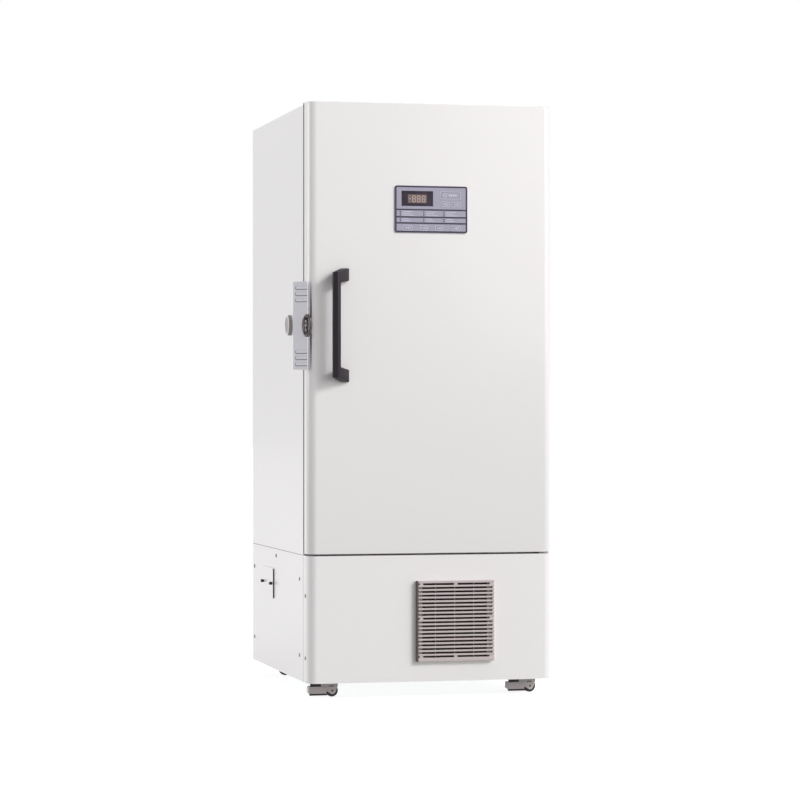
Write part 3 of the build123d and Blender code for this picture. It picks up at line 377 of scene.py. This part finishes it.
def offset_handle():
    low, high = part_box("pull_handle")
    wide, deep, ridge, facet = 26 * MM, 20 * MM, 15 * MM, 7 * MM
    arm_height, arm_back, splay, sunk = 34 * MM, 8 * MM, 14 * MM, 0.5 * MM
    foot_width, foot_height, foot_depth, foot_sunk = 26 * MM, 40 * MM, 12 * MM, 0.2 * MM
    left, front, door_face = low[0], low[1], door_low[1]
    bar_low, bar_high = low[2] + splay, high[2] - splay
    bm = bmesh.new()
    outline = ((left, front + deep), (left, front + facet), (left + ridge, front),
               (left + wide, front + facet), (left + wide, front + deep))
    bar = prism(bm, outline, bar_low, bar_high)
    round_edges(bm, edges_along(bar, 2), 1.8 * MM, 3)
    ends = [e for e in bm.edges if e.calc_face_angle(0) > square
            and abs(e.verts[0].co.z - e.verts[1].co.z) < MM]
    round_edges(bm, ends, 2.5 * MM, 3)
    for end, bar_end, foot_end in ((-1, bar_low, low[2]), (1, bar_high, high[2])):
        arm_end = bar_end - end * sunk
        arm_bottom, arm_top = sorted((arm_end, arm_end - end * arm_height))
        foot_bottom, foot_top = sorted((foot_end, foot_end - end * foot_height))
        arm = bmesh.new()
        cube(arm, (left + MM, front + arm_back, arm_bottom), (left + wide - MM, front + deep - sunk, arm_top))
        cube(arm, (high[0] - foot_width, door_face - foot_depth, foot_bottom),
             (high[0], door_face + foot_sunk, foot_top))
        hull = bmesh.ops.convex_hull(arm, input=arm.verts)
        spare = [item for item in hull["geom_interior"] + hull["geom_unused"]
                 if item.is_valid and isinstance(item, bmesh.types.BMVert)]
        bmesh.ops.delete(arm, geom=spare, context="VERTS")
        bmesh.ops.dissolve_limit(arm, angle_limit=math.radians(2), verts=arm.verts[:], edges=arm.edges[:])
        round_edges(arm, [e for e in arm.edges if e.calc_face_angle(0) > 0.25], 3.0 * MM, 4)
        bring_in(bm, arm)
    piece("offset_handle", bm, handle_black, "door", replaced=("pull_handle",))


# The lever's own frame: from the middle of its lip, along its face and out of it

lever_turn = math.radians(40)
lever_out = Vector((-math.cos(lever_turn), -math.sin(lever_turn), 0))
lever_along = Vector((-math.sin(lever_turn), math.cos(lever_turn), 0))
lever_low, lever_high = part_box("latch_lever")
latch_level = (lever_low[2] + lever_high[2]) / 2
lever_lip = Vector((left_side - 3 * MM, door_low[1] - 4 * MM, latch_level))
lever_half = (lever_high[2] - lever_low[2]) / 2


# Oval lock on the lever: a stepped rim, a sunk face and a boss with its key slot between two marks

def oval_lock():
    back = lever_lip + lever_out * 0.3 * MM
    boss = back + lever_out * 8.0 * MM
    mark_height = 13 * MM
    steps = ((1.5, 0.0), (0.6, 2.6), (2.2, 0.0), (1.2, -2.2), (3.6, 0.0), (0.8, 1.6))
    bm = bmesh.new()
    disc(bm, back, lever_out, (20 * MM, 37 * MM), 6 * MM, 48)
    round_edges(bm, end_cap(bm, lever_out).edges, 2 * MM, 4)
    step_in(bm, end_cap(bm, lever_out), lever_out, steps)
    piece("oval_lock", bm, dark_chrome, "lock_knob", replaced=("lock_knob",))
    # The lighter zinc boss and marks sit where the lock's face shows its highlights: partly painted highlight
    marks = bmesh.new()
    disc(marks, boss, lever_out, (3.4 * MM, 5.5 * MM), 1.2 * MM, 24)
    for end in (-1, 1):
        place = boss + Vector((0, 0, end * mark_height))
        disc(marks, place, lever_out, (2.2 * MM, 4.6 * MM), 0.6 * MM, 20)
    piece("lock_marks_highlight", marks, zinc_plate, "lock_knob")
    # Painted shade: a flat black patch for the dark recess of the key slot
    slot = bmesh.new()
    disc(slot, boss + lever_out * 1.1 * MM, lever_out, (0.8 * MM, 3.0 * MM), 0.3 * MM, 12)
    piece("lock_slot_shade", slot, black_plastic, "lock_knob")


# Face of the lever: a lacquered sheet with three pressed ribs at each end, each over a dark line of painted
# shadow set lower than the rib

def on_lever(bm, low, high, far_radius=0.0):
    """A slab in the lever's frame: millimetres along from its lip, up from its middle and out of its face."""
    verts = cube(bm, [v * MM for v in low], [v * MM for v in high])
    if far_radius:
        far = [e for e in edges_along(verts, 2) if e.verts[0].co.x > (low[0] + high[0]) / 2 * MM]
        rounded = round_edges(bm, far, far_radius * MM, 6)["verts"]
        verts = [v for v in dict.fromkeys(verts + rounded) if v.is_valid]
    turned = Matrix((lever_along, (0, 0, 1), lever_out)).transposed().to_4x4()
    bmesh.ops.transform(bm, matrix=Matrix.Translation(lever_lip) @ turned, verts=verts)


def lever_face():
    half, width = lever_half / MM, 58
    rib_insets = (18.7, 38.6, 58.5)
    face, lines, ribs = bmesh.new(), bmesh.new(), bmesh.new()
    on_lever(face, (0.2, -half, -0.4), (width, half, 0.2))
    for end in (-1, 1):
        for inset in rib_insets:
            level = end * (half - inset)
            # Painted shadow: a patch lower and wider than its rib
            on_lever(lines, (1.0, level - 7.4, 0.1), (width - 8.2, level + 5.6, 0.28), far_radius=6.0)
            on_lever(ribs, (0.6, level - 5.2, 0.1), (width - 10.4, level + 5.2, 0.9), far_radius=5.0)
    piece("lever_face", face, latch_grey, "latch_lever")
    piece("lever_rib_shade_lines", lines, rib_shade_paint, "latch_lever")
    piece("lever_ribs", ribs, latch_grey, "latch_lever")


# Dark strip on the door's corner beside the lever, pointed at both ends

def corner_dark_strip():
    bearing, sweep = math.radians(40), math.radians(10)
    reach, thick, pointed = corner_radius + 0.35 * MM, 0.6 * MM, 0.96
    centre = Vector((left_side + corner_radius, door_low[1] + corner_radius, 0))
    start = bearing - sweep / 2
    bm = bmesh.new()
    ends = [bm.verts.new(centre + Vector((-math.sin(start) * reach, -math.cos(start) * reach, level)))
            for level in (lever_low[2], lever_high[2])]
    bmesh.ops.subdivide_edges(bm, edges=[bm.edges.new(ends)], cuts=23)
    bmesh.ops.spin(bm, geom=bm.verts[:] + bm.edges[:], cent=centre, axis=(0, 0, 1), angle=-sweep, steps=4)
    for vert in bm.verts:
        along = (vert.co.z - latch_level) / lever_half
        angle = math.atan2(centre.x - vert.co.x, centre.y - vert.co.y)
        pull = (bearing - angle) * along * along * pointed
        bmesh.ops.rotate(bm, verts=[vert], cent=centre, matrix=Matrix.Rotation(-pull, 3, "Z"))
    bmesh.ops.recalc_face_normals(bm, faces=bm.faces)
    bmesh.ops.solidify(bm, geom=bm.faces[:], thickness=thick)
    piece("corner_dark_strip", bm, black_plastic, "door")


# Panel screws: domed heads, each with its cross recess painted as a dark shade patch, at the same places on both
# sides

def screw_heads():
    places_mm = ((-433, 131), (-433, 331), (51, 437), (-340, 134), (-340, 381), (439, 134), (439, 381))
    radius, dome, soft = 6.5 * MM, 1.7 * MM, 1.1 * MM
    cross_low, cross_high, arm_long, arm_thin = 1.6 * MM, 1.8 * MM, 4.6 * MM, 1.1 * MM
    heads, cross_shades = bmesh.new(), bmesh.new()
    for side in (-1, 1):
        for along, level in places_mm:
            seat = Vector((-side * left_side, along * MM, level * MM))
            head = disc(heads, seat, (side, 0, 0), (radius, radius), dome, 24)
            rim = [e for v in head for e in v.link_edges
                   if all(abs(end.co.x - seat.x) > MM for end in e.verts)]
            round_edges(heads, rim, soft, 3)
            x0, x1 = sorted((seat.x + cross_low * side, seat.x + cross_high * side))
            for wide, tall in ((arm_long, arm_thin), (arm_thin, arm_long)):
                cube(cross_shades, (x0, seat.y - wide, seat.z - tall), (x1, seat.y + wide, seat.z + tall))
    piece("screw_heads", heads, zinc_plate, "cabinet", replaced=("panel_screws",))
    piece("screw_cross_shade", cross_shades, black_plastic, "cabinet")


# Joints of the sheets on both sides, and a dark strip along the hatch's front edge painted as the shade in its
# gap

def side_joints():
    wrap_low, wrap_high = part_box("cabinet_wrap")
    pan_low, pan_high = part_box("lower_front_panel")
    hatch_low, hatch_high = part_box("side_hatch")
    line, proud, sunk = 0.8 * MM, 0.2 * MM, 0.4 * MM
    bm = bmesh.new()
    for side in (-1, 1):
        face = -side * left_side
        x0, x1 = sorted((face - side * sunk, face + side * proud))
        cube(bm, (x0, wrap_low[1], wrap_low[2] - line), (x1, wrap_high[1], wrap_low[2] + line))
        cube(bm, (x0, pan_high[1] - line, pan_low[2]), (x1, pan_high[1] + line, pan_high[2]))
    piece("side_joints", bm, joint_grey, "cabinet")
    lap, thick, short = 0.2 * MM, 1.2 * MM, 3 * MM
    strip = bmesh.new()
    cube(strip, (hatch_low[0] + lap, hatch_low[1] - thick, hatch_low[2] + short),
         (left_side, hatch_low[1] + lap, hatch_high[2] - short))
    piece("hatch_strip", strip, gap_shade_rubber, "cabinet")


# Air grille: bars over the full width, with ends and ribs set back behind them and a dark strip at its left,
# painted as the shade of its side wall

def slatted_grille():
    low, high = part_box("front_grille")
    rows, pitch, slot, raised = 20, 12.3 * MM, 6.4 * MM, 2.5 * MM
    bar_depth, bar_soft, strip_width, strip_back = 8 * MM, 0.9 * MM, 4 * MM, 1.5 * MM
    end_width, end_back, wall, wall_short = 20 * MM, 14 * MM, 5 * MM, 0.4 * MM
    rib_half, rib_back, rib_pitch = 0.7 * MM, 15.5 * MM, 64 * MM
    left, right, front, rear = low[0] + strip_width, high[0], low[1], high[1]
    inner_low, inner_high = low[2] + MM, high[2] - MM
    middle_x = (low[0] + high[0]) / 2
    middle_z = (low[2] + high[2]) / 2 + raised
    levels = [middle_z + (row - (rows - 1) / 2) * pitch for row in range(rows)]
    limits = [low[2]] + [level + side * slot / 2 for level in levels for side in (-1, 1)] + [high[2]]
    bars = bmesh.new()
    for bottom, top in zip(limits[::2], limits[1::2]):
        rail = bottom == low[2] or top == high[2]
        verts = cube(bars, (left, front, bottom), (right, rear if rail else front + bar_depth, top))
        round_edges(bars, [e for e in edges_along(verts, 0) if e.verts[0].co.y < front + MM], bar_soft, 3)
    for x0, x1 in ((left + MM, low[0] + end_width), (right - end_width, right - MM)):
        cube(bars, (x0, front + end_back, inner_low), (x1, rear, inner_high))
    cube(bars, (right - wall, front + wall, inner_low), (right - wall_short, rear, inner_high))
    for step in (-1, 0, 1):
        x = middle_x + step * rib_pitch
        cube(bars, (x - rib_half, front + rib_back, inner_low), (x + rib_half, rear, inner_high))
    # Short bridges that close a slot at the ends and the middle of a few rows
    bridge_half, bridge_back, bridge_lap = 5.5 * MM, 0.4 * MM, 0.5 * MM
    reach = (high[0] - low[0]) / 2 - 10 * MM
    for row, sides in ((0, (-1, 0, 1)), (10, (-1, 1)), (19, (-1, 0, 1))):
        for side in sides:
            x = middle_x + side * reach + (strip_width if side < 0 else 0)
            cube(bars, (x - bridge_half, front + bridge_back, levels[row] - slot / 2 - bridge_lap),
                 (x + bridge_half, front + bar_depth, levels[row] + slot / 2 + bridge_lap))
    piece("slatted_grille", bars, grille_grey, "cabinet", replaced=("front_grille",))
    # Painted shade: a dark strip for the grille's shaded left wall
    strip = bmesh.new()
    cube(strip, (low[0], front + strip_back, low[2]), (left, rear, high[2]))
    piece("grille_shade_strip", strip, grille_side_shade, "cabinet")


# Casters: tapered cheeks with slots painted as dark shade patches on each side of the wheel, and the hooded brake
# on the front pair

def caster_fork(place, body):
    """The cheeks, crown and swivel head of one caster. Gives back where its swivel stands."""
    low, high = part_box("caster_wheel_" + place)
    axle = Vector([(l + h) / 2 for l, h in zip(low, high)])
    trail, top, cheek, clear = 26 * MM, 60 * MM, 4 * MM, 0.8 * MM
    lobe_radius, lobe_points, pin, pin_proud = 11.5 * MM, 40, 3.2 * MM, 0.8 * MM
    crown_half, crown_low, head, head_height = 15 * MM, 46 * MM, 20 * MM, 10 * MM
    cheek_rear, cheek_front, cheek_low, crown_front = -14 * MM, 44 * MM, 34 * MM, 33 * MM
    slots_mm = ((23.0, 35.0, 8.5), (22.0, 47.0, 8.0), (3.0, 47.0, 6.0))
    slot_half_mm, slot_proud = 1.6, 0.2 * MM
    swivel = axle.x - trail
    bm, slots = bmesh.new(), bmesh.new()
    corners = [(swivel + x, z) for x in (cheek_rear, cheek_front) for z in (cheek_low, top)]
    turns = [2 * math.pi * step / lobe_points for step in range(lobe_points)]
    lobe = [(axle.x + lobe_radius * math.cos(t), axle.z + lobe_radius * math.sin(t)) for t in turns]
    points = [Vector(point) for point in corners + lobe]
    outline = [points[i] for i in geometry.convex_hull_2d(points)]
    for side in (-1, 1):
        inner = axle.y + side * ((high[1] - low[1]) / 2 + clear)
        outer = inner + side * cheek
        prism(bm, outline, min(inner, outer), max(inner, outer), axis=1)
        for middle, level, half_long in slots_mm:
            cube(slots, (swivel + (middle - half_long) * MM, outer - slot_proud, (level - slot_half_mm) * MM),
                 (swivel + (middle + half_long) * MM, outer + slot_proud, (level + slot_half_mm) * MM))
        disc(slots, Vector((axle.x, outer, axle.z)), (0, side, 0), (pin, pin), pin_proud, 20)
    cube(bm, (swivel + cheek_rear, axle.y - crown_half, crown_low),
         (swivel + crown_front, axle.y + crown_half, top))
    disc(bm, Vector((swivel, axle.y, top)), (0, 0, 1), (head, head), head_height, 32)
    piece("caster_cheeks_" + place, bm, caster_grey, body, replaced=(body,))
    piece("caster_slots_" + place, slots, slot_shade_and_pin_brown, body)
    return swivel


def caster_brake(place, body, swivel):
    """A hood over the pedal, with a dark pad below it painted as the wheel and the shade under the hood, and a
    dark neck above.
    """
    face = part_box(body)[0][1]
    # Each block's spans in millimetres: along from the swivel, back from the pedal's face, up from the floor
    hood_mm = ((-53, 6), (-2.6, -0.4), (11, 34))
    # Partly painted shade: the pad stands for the wheel and the shadow below the hood
    shade_pad_mm = ((-50, 8), (-1.2, -0.4), (5, 11))
    neck_mm = ((-46, -12), (-0.6, 9), (33.5, 47))

    def block(bm, spans_mm):
        corners = [(swivel + x * MM, face + y * MM, z * MM) for x, y, z in zip(*spans_mm)]
        return cube(bm, *corners)

    hood, dark = bmesh.new(), bmesh.new()
    round_edges(hood, edges_along(block(hood, hood_mm), 0), 0.8 * MM, 3)
    block(dark, shade_pad_mm)
    block(dark, neck_mm)
    piece("brake_hood_" + place, hood, caster_grey, body)
    piece("brake_shade_pad_" + place, dark, wheel_black, body)


def casters():
    for place in ("front_left", "front_right", "rear_left", "rear_right"):
        swivel = caster_fork(place, "caster_fork_" + place)
        if place.startswith("front"):
            caster_brake(place, "caster_brake_" + place, swivel)


# Vent cap: a shallow step and a sunk middle on the round cap

def vent_cap():
    low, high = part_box("vent_port")
    out, stands, radius = Vector((-1, 0, 0)), 11 * MM, 33.3 * MM
    centre = Vector((left_side, (low[1] + high[1]) / 2, (low[2] + high[2]) / 2))
    bm = bmesh.new()
    disc(bm, centre + out * stands, out, (radius, radius), 2.0 * MM, 64)
    round_edges(bm, end_cap(bm, out).edges, 1.0 * MM, 3)
    step_in(bm, end_cap(bm, out), out, ((4.0, 0.0), (1.0, -1.2)))
    piece("vent_cap_step", bm, white_abs, "cabinet")


# Lip of the door seal that fills the gap round the free edges of the door, dark as painted shade in that gap

def gasket_lip():
    seal_low, seal_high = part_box("door_gasket")
    proud, lap, hinge_clear = 0.3 * MM, MM, 8 * MM
    near, far = door_high[1] - 2.5 * MM, door_high[1] + 11.4 * MM
    bottom, top = door_low[2] - proud, door_high[2] + proud
    inner = seal_low[0] + lap
    bm = bmesh.new()
    cube(bm, (door_low[0] - proud, near, bottom), (inner, far, top))
    for under, over in ((bottom, seal_low[2] + lap), (seal_high[2] - lap, top)):
        cube(bm, (inner, near, under), (seal_high[0] - hinge_clear, far, over))
    piece("gasket_lip", bm, gap_shade_rubber, "door")


# Inner doors: a raised rim and a finger pull on each

def inner_door_trim():
    inset, line, rim_proud, sunk = 14 * MM, 9 * MM, 2 * MM, 0.3 * MM
    pull_left, pull_right, pull_proud, pull_half = 34 * MM, 48 * MM, 14 * MM, 55 * MM
    for name in ("inner_door_lower", "inner_door_upper"):
        low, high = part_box(name)
        front, middle = low[1], (low[2] + high[2]) / 2
        x0, x1, z0, z1 = low[0] + inset, high[0] - inset, low[2] + inset, high[2] - inset
        bars = (((x0, z0), (x1, z0 + line)), ((x0, z1 - line), (x1, z1)),
                ((x0, z0 + line), (x0 + line, z1 - line)), ((x1 - line, z0 + line), (x1, z1 - line)))
        rim = bmesh.new()
        for (left, bottom), (right, top) in bars:
            cube(rim, (left, front - rim_proud, bottom), (right, front + sunk, top))
        piece(name + "_rim", rim, white_abs, name)
        pull = bmesh.new()
        verts = cube(pull, (low[0] + pull_left, front - pull_proud, middle - pull_half),
                     (low[0] + pull_right, front + sunk, middle + pull_half))
        round_edges(pull, edges_along(verts, 2) + edges_along(verts, 1), 4 * MM, 4)
        piece(name + "_pull", pull, grille_grey, name)


# Control panel: the printed border and dividers, the display and the marks on the keys.
# Places on it are in millimetres across and down from its top left corner.

panel_low, panel_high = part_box("control_bezel")
panel_front = panel_low[1]


def on_panel(across, down):
    """The x and z of a place on the panel."""
    return panel_low[0] + across * MM, panel_high[2] - down * MM


def patch(bm, left, top, right, bottom, lift=0.25, thick=0.4, radius=0.0, front=panel_front):
    """A thin printed or inlaid patch on the panel, with rounded corners if asked."""
    x0, z1 = on_panel(left, top)
    x1, z0 = on_panel(right, bottom)
    verts = cube(bm, (x0, front - lift * MM, z0), (x1, front + (thick - lift) * MM, z1))
    if radius:
        round_edges(bm, edges_along(verts, 1), radius * MM, 6)


def frame_patch(bm, left, top, right, bottom, line, radius, front=panel_front):
    """A thin printed outline: a rounded patch with its middle taken out."""
    x0, z1 = on_panel(left, top)
    x1, z0 = on_panel(right, bottom)
    lift, thick = 0.3 * MM, 0.5 * MM
    ring = bmesh.new()
    bmesh.ops.create_grid(ring, x_segments=1, y_segments=1, size=0.5)
    bmesh.ops.scale(ring, vec=(x1 - x0, z1 - z0, 1), verts=ring.verts)
    bmesh.ops.bevel(ring, geom=ring.verts[:], offset=radius * MM, segments=5, profile=0.5, affect="VERTICES",
                    clamp_overlap=True, material=-1)
    inside = ring.faces[:]
    bmesh.ops.inset_region(ring, faces=inside, thickness=line * MM, use_even_offset=True, use_boundary=True)
    bmesh.ops.delete(ring, geom=inside, context="FACES")
    pushed = bmesh.ops.extrude_face_region(ring, geom=ring.faces[:])["geom"]
    moved = [item for item in pushed if isinstance(item, bmesh.types.BMVert)]
    bmesh.ops.translate(ring, vec=(0, 0, thick), verts=moved)
    centre = Matrix.Translation(((x0 + x1) / 2, front - lift, (z0 + z1) / 2))
    upright = Matrix.Rotation(math.radians(-90), 4, "X")
    bmesh.ops.transform(ring, matrix=centre @ upright, verts=ring.verts)
    bring_in(bm, ring)


def panel_border():
    width = (panel_high[0] - panel_low[0]) / MM
    height = (panel_high[2] - panel_low[2]) / MM
    edge, divider_edge = 0.4, 3.6
    bm = bmesh.new()
    frame_patch(bm, edge, edge, width - edge, height - edge, 5.2, 7.0)
    for top, bottom in ((75.1, 79.8), (98.9, 103.8), (118.4, 123.3)):
        patch(bm, divider_edge, top, width - divider_edge, bottom)
    piece("panel_border", bm, border_ink, "door")


def display_digits():
    """A minus sign and three digits with all their segments unlit, and the red lamp beside them."""
    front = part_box("display_window")[0][1]
    long, thin, gap, pitch = 8.0, 2.3, 0.5, 9.7
    rows = (31.6, 41.3, 51.0)
    inset = thin / 2 + gap
    field, segments, dot = bmesh.new(), bmesh.new(), bmesh.new()
    patch(field, 43.5, 28.5, 106, 56, lift=0.12, thick=0.3, front=front)
    piece("digit_field", field, digit_brown, "door")

    def segment(left, top, wide, tall):
        patch(segments, left, top, left + wide, top + tall, thick=0.3, radius=1.0, front=front)

    for left in (58.0, 74.0, 90.0):
        for row in rows:
            segment(left + inset, row, long, thin)
        for row in rows[:2]:
            for side in (left, left + long + 2 * gap):
                segment(side, row + inset, thin, pitch - 2 * gap)
    segment(46.5, rows[1], 7.0, thin)
    piece("digit_segments", segments, digit_beige, "door")
    patch(dot, 112.0, 50.5, 115.4, 53.9, lift=0.2, thick=0.3, radius=1.6, front=front)
    piece("power_dot", dot, red_lens, "door")


def indicator_lamps():
    """Three columns of five small lamps, each with a bar where its label would be."""
    lamps, labels = bmesh.new(), bmesh.new()
    radius, sunk, thick, label_start = 2.0 * MM, 0.1 * MM, 0.6 * MM, 7
    for across in (18.0, 96.0, 163.0):
        for down, reach in ((82.6, 34), (88.6, 27), (94.6, 39), (106.4, 21), (112.6, 28)):
            x, z = on_panel(across, down + 1.4)
            disc(lamps, (x, panel_front + sunk, z), (0, -1, 0), (radius, radius), thick, 16)
            left = across + label_start
            patch(labels, left, down + 0.4, left + reach, down + 2.0)
    piece("indicator_lamps", lamps, lamp_dark, "door")
    piece("indicator_labels", labels, label_pale, "door")


def key_marks():
    """A pale outline and a plain sign on each key, with a violet line between them, moving with it."""
    places = {
        "key_alarm": (151.0, 17.0, 220.0, 42.0, 3.0), "key_upper_left": (152.0, 50.0, 183.0, 67.0, 3.0),
        "key_upper_right": (188.0, 50.0, 220.0, 67.0, 3.0), "key_lower_1": (24.0, 127.0, 60.0, 145.0, 8.5),
        "key_lower_2": (83.0, 127.0, 110.0, 145.0, 3.0), "key_lower_3": (134.0, 127.0, 161.0, 145.0, 3.0),
        "key_lower_4": (185.0, 127.0, 220.0, 145.0, 8.5),
    }
    outer, inner = 0.4, 2.3
    for key, (left, top, right, bottom, radius) in places.items():
        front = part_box(key)[0][1]
        middle, level = (left + right) / 2, (top + bottom) / 2
        mark, line = bmesh.new(), bmesh.new()
        frame_patch(mark, left + outer, top + outer, right - outer, bottom - outer, 1.7, radius, front=front)
        line_radius = max(radius - 1.5, 1.5)
        frame_patch(line, left + inner, top + inner, right - inner, bottom - inner, 1.5, line_radius, front=front)
        piece(key + "_line", line, key_line, key)
        if key == "key_alarm":
            frame_patch(mark, left + 10, level - 6, left + 22, level + 6, 1.6, 5.5, front=front)
            for start in (29, 36, 43, 50):
                patch(mark, left + start, level - 3, left + start + 4.5, level + 3, front=front)
        else:
            patch(mark, middle - 8, level - 0.9, middle + 2, level + 0.9, front=front)
            frame_patch(mark, middle + 2, level - 4, middle + 10, level + 4, 1.3, 2.0, front=front)
        piece(key + "_mark", mark, label_pale, key)


for make in (door_shell, lower_pan, offset_handle, oval_lock, lever_face, corner_dark_strip, screw_heads,
             side_joints, slatted_grille, casters, vent_cap, gasket_lip, inner_door_trim,
             panel_border, display_digits, indicator_lamps, key_marks):
    make()


# Camera at the photograph's viewing angle

photo_width_px = 800
focal_px, shift_x_px, shift_y_px = 2828.8, -3.27, 10.84
sensor_mm = 36.0
camera_place = (-2.26200, -9.32745, 0.92549)
camera_turn = math.radians(13.76)
camera_data = bpy.data.cameras.new("camera")
camera_data.sensor_width = sensor_mm
camera_data.lens = focal_px * sensor_mm / photo_width_px
camera_data.shift_x = shift_x_px / photo_width_px
camera_data.shift_y = shift_y_px / photo_width_px
camera_data.clip_end = 100.0
camera = bpy.data.objects.new("camera", camera_data)
camera.matrix_world = (
    Matrix.Translation(camera_place)
    @ Matrix.Rotation(-camera_turn, 4, "Z")
    @ Matrix.Rotation(math.radians(90), 4, "X")
)
bpy.context.collection.objects.link(camera)
bpy.context.scene.camera = camera
bpy.context.scene.view_settings.view_transform = "Standard"


# Pale floor and soft studio light. Both the world and the floor look bright but light the object less.

def dimmed_for_diffuse(tree, seen, lit):
    """Mix two shaders: one that is seen, and a dimmer one that lights matt surfaces."""
    ray = add(tree, "ShaderNodeLightPath")
    both = add(tree, "ShaderNodeMixShader", links={"Fac": ray.outputs["Is Diffuse Ray"]})
    tree.links.new(seen, both.inputs[1])
    tree.links.new(lit, both.inputs[2])
    return both.outputs["Shader"]


white = (1.0, 1.0, 1.0, 1.0)
world = bpy.data.worlds.new("studio")
world.use_nodes = True
world_tree = world.node_tree
world_tree.nodes.clear()
world_seen = add(world_tree, "ShaderNodeBackground", sockets={"Color": white, "Strength": 1.0})
world_lit = add(world_tree, "ShaderNodeBackground", sockets={"Color": (1.0, 0.97, 0.97, 1.0), "Strength": 0.3})
world_mix = dimmed_for_diffuse(world_tree, world_seen.outputs["Background"], world_lit.outputs["Background"])
add(world_tree, "ShaderNodeOutputWorld", links={"Surface": world_mix})
bpy.context.scene.world = world

floor_bm = bmesh.new()
bmesh.ops.create_grid(floor_bm, x_segments=1, y_segments=1, size=60.0)
floor_mesh = bpy.data.meshes.new("floor")
floor_bm.to_mesh(floor_mesh)
floor_bm.free()
floor = bpy.data.objects.new("floor", floor_mesh)
floor.location.z = cad_box[0][2] - 0.5 * MM
floor_glow = {"Specular IOR Level": 0.0, "Emission Color": white, "Emission Strength": 0.8}
floor_paint, floor_tree, floor_shader, floor_place = start_material("pale_floor", Roughness=0.9, **floor_glow)
grain(floor_tree, floor_shader, floor_place, 300.0, 0.0, ("#c2c2c2", "#c6c6c6"))
floor_dim = add(floor_tree, "ShaderNodeEmission", sockets={"Strength": 0.3})
floor_mix = dimmed_for_diffuse(floor_tree, floor_shader.outputs["BSDF"], floor_dim.outputs["Emission"])
floor_out = next(node for node in floor_tree.nodes if node.type == "OUTPUT_MATERIAL")
floor_tree.links.new(floor_mix, floor_out.inputs["Surface"])
floor_mesh.materials.append(floor_paint)
bpy.context.collection.objects.link(floor)


def soft_sun(name, azimuth, elevation, spread, strength, tint=(1.0, 1.0, 1.0)):
    """A broad even light from a bearing: azimuth 0 stands before the door and turns towards +X."""
    data = bpy.data.lights.new(name, "SUN")
    data.energy = strength
    data.color = tint
    data.angle = math.radians(spread)
    lamp = bpy.data.objects.new(name, data)
    around = math.radians(azimuth)
    up = math.radians(elevation)
    towards = Vector((math.sin(around) * math.cos(up), -math.cos(around) * math.cos(up), math.sin(up)))
    lamp.rotation_euler = towards.to_track_quat("Z", "Y").to_euler()
    bpy.context.collection.objects.link(lamp)


soft_sun("key", 44, 29, 14, 1.4, tint=(0.985, 1.0, 1.0))
soft_sun("front_fill", 45, 10, 60, 1.94, tint=(1.0, 0.96, 0.963))
soft_sun("side_fill", -110, 8, 40, 1.72)
soft_sun("overhead", 0, 88, 40, 0.5)
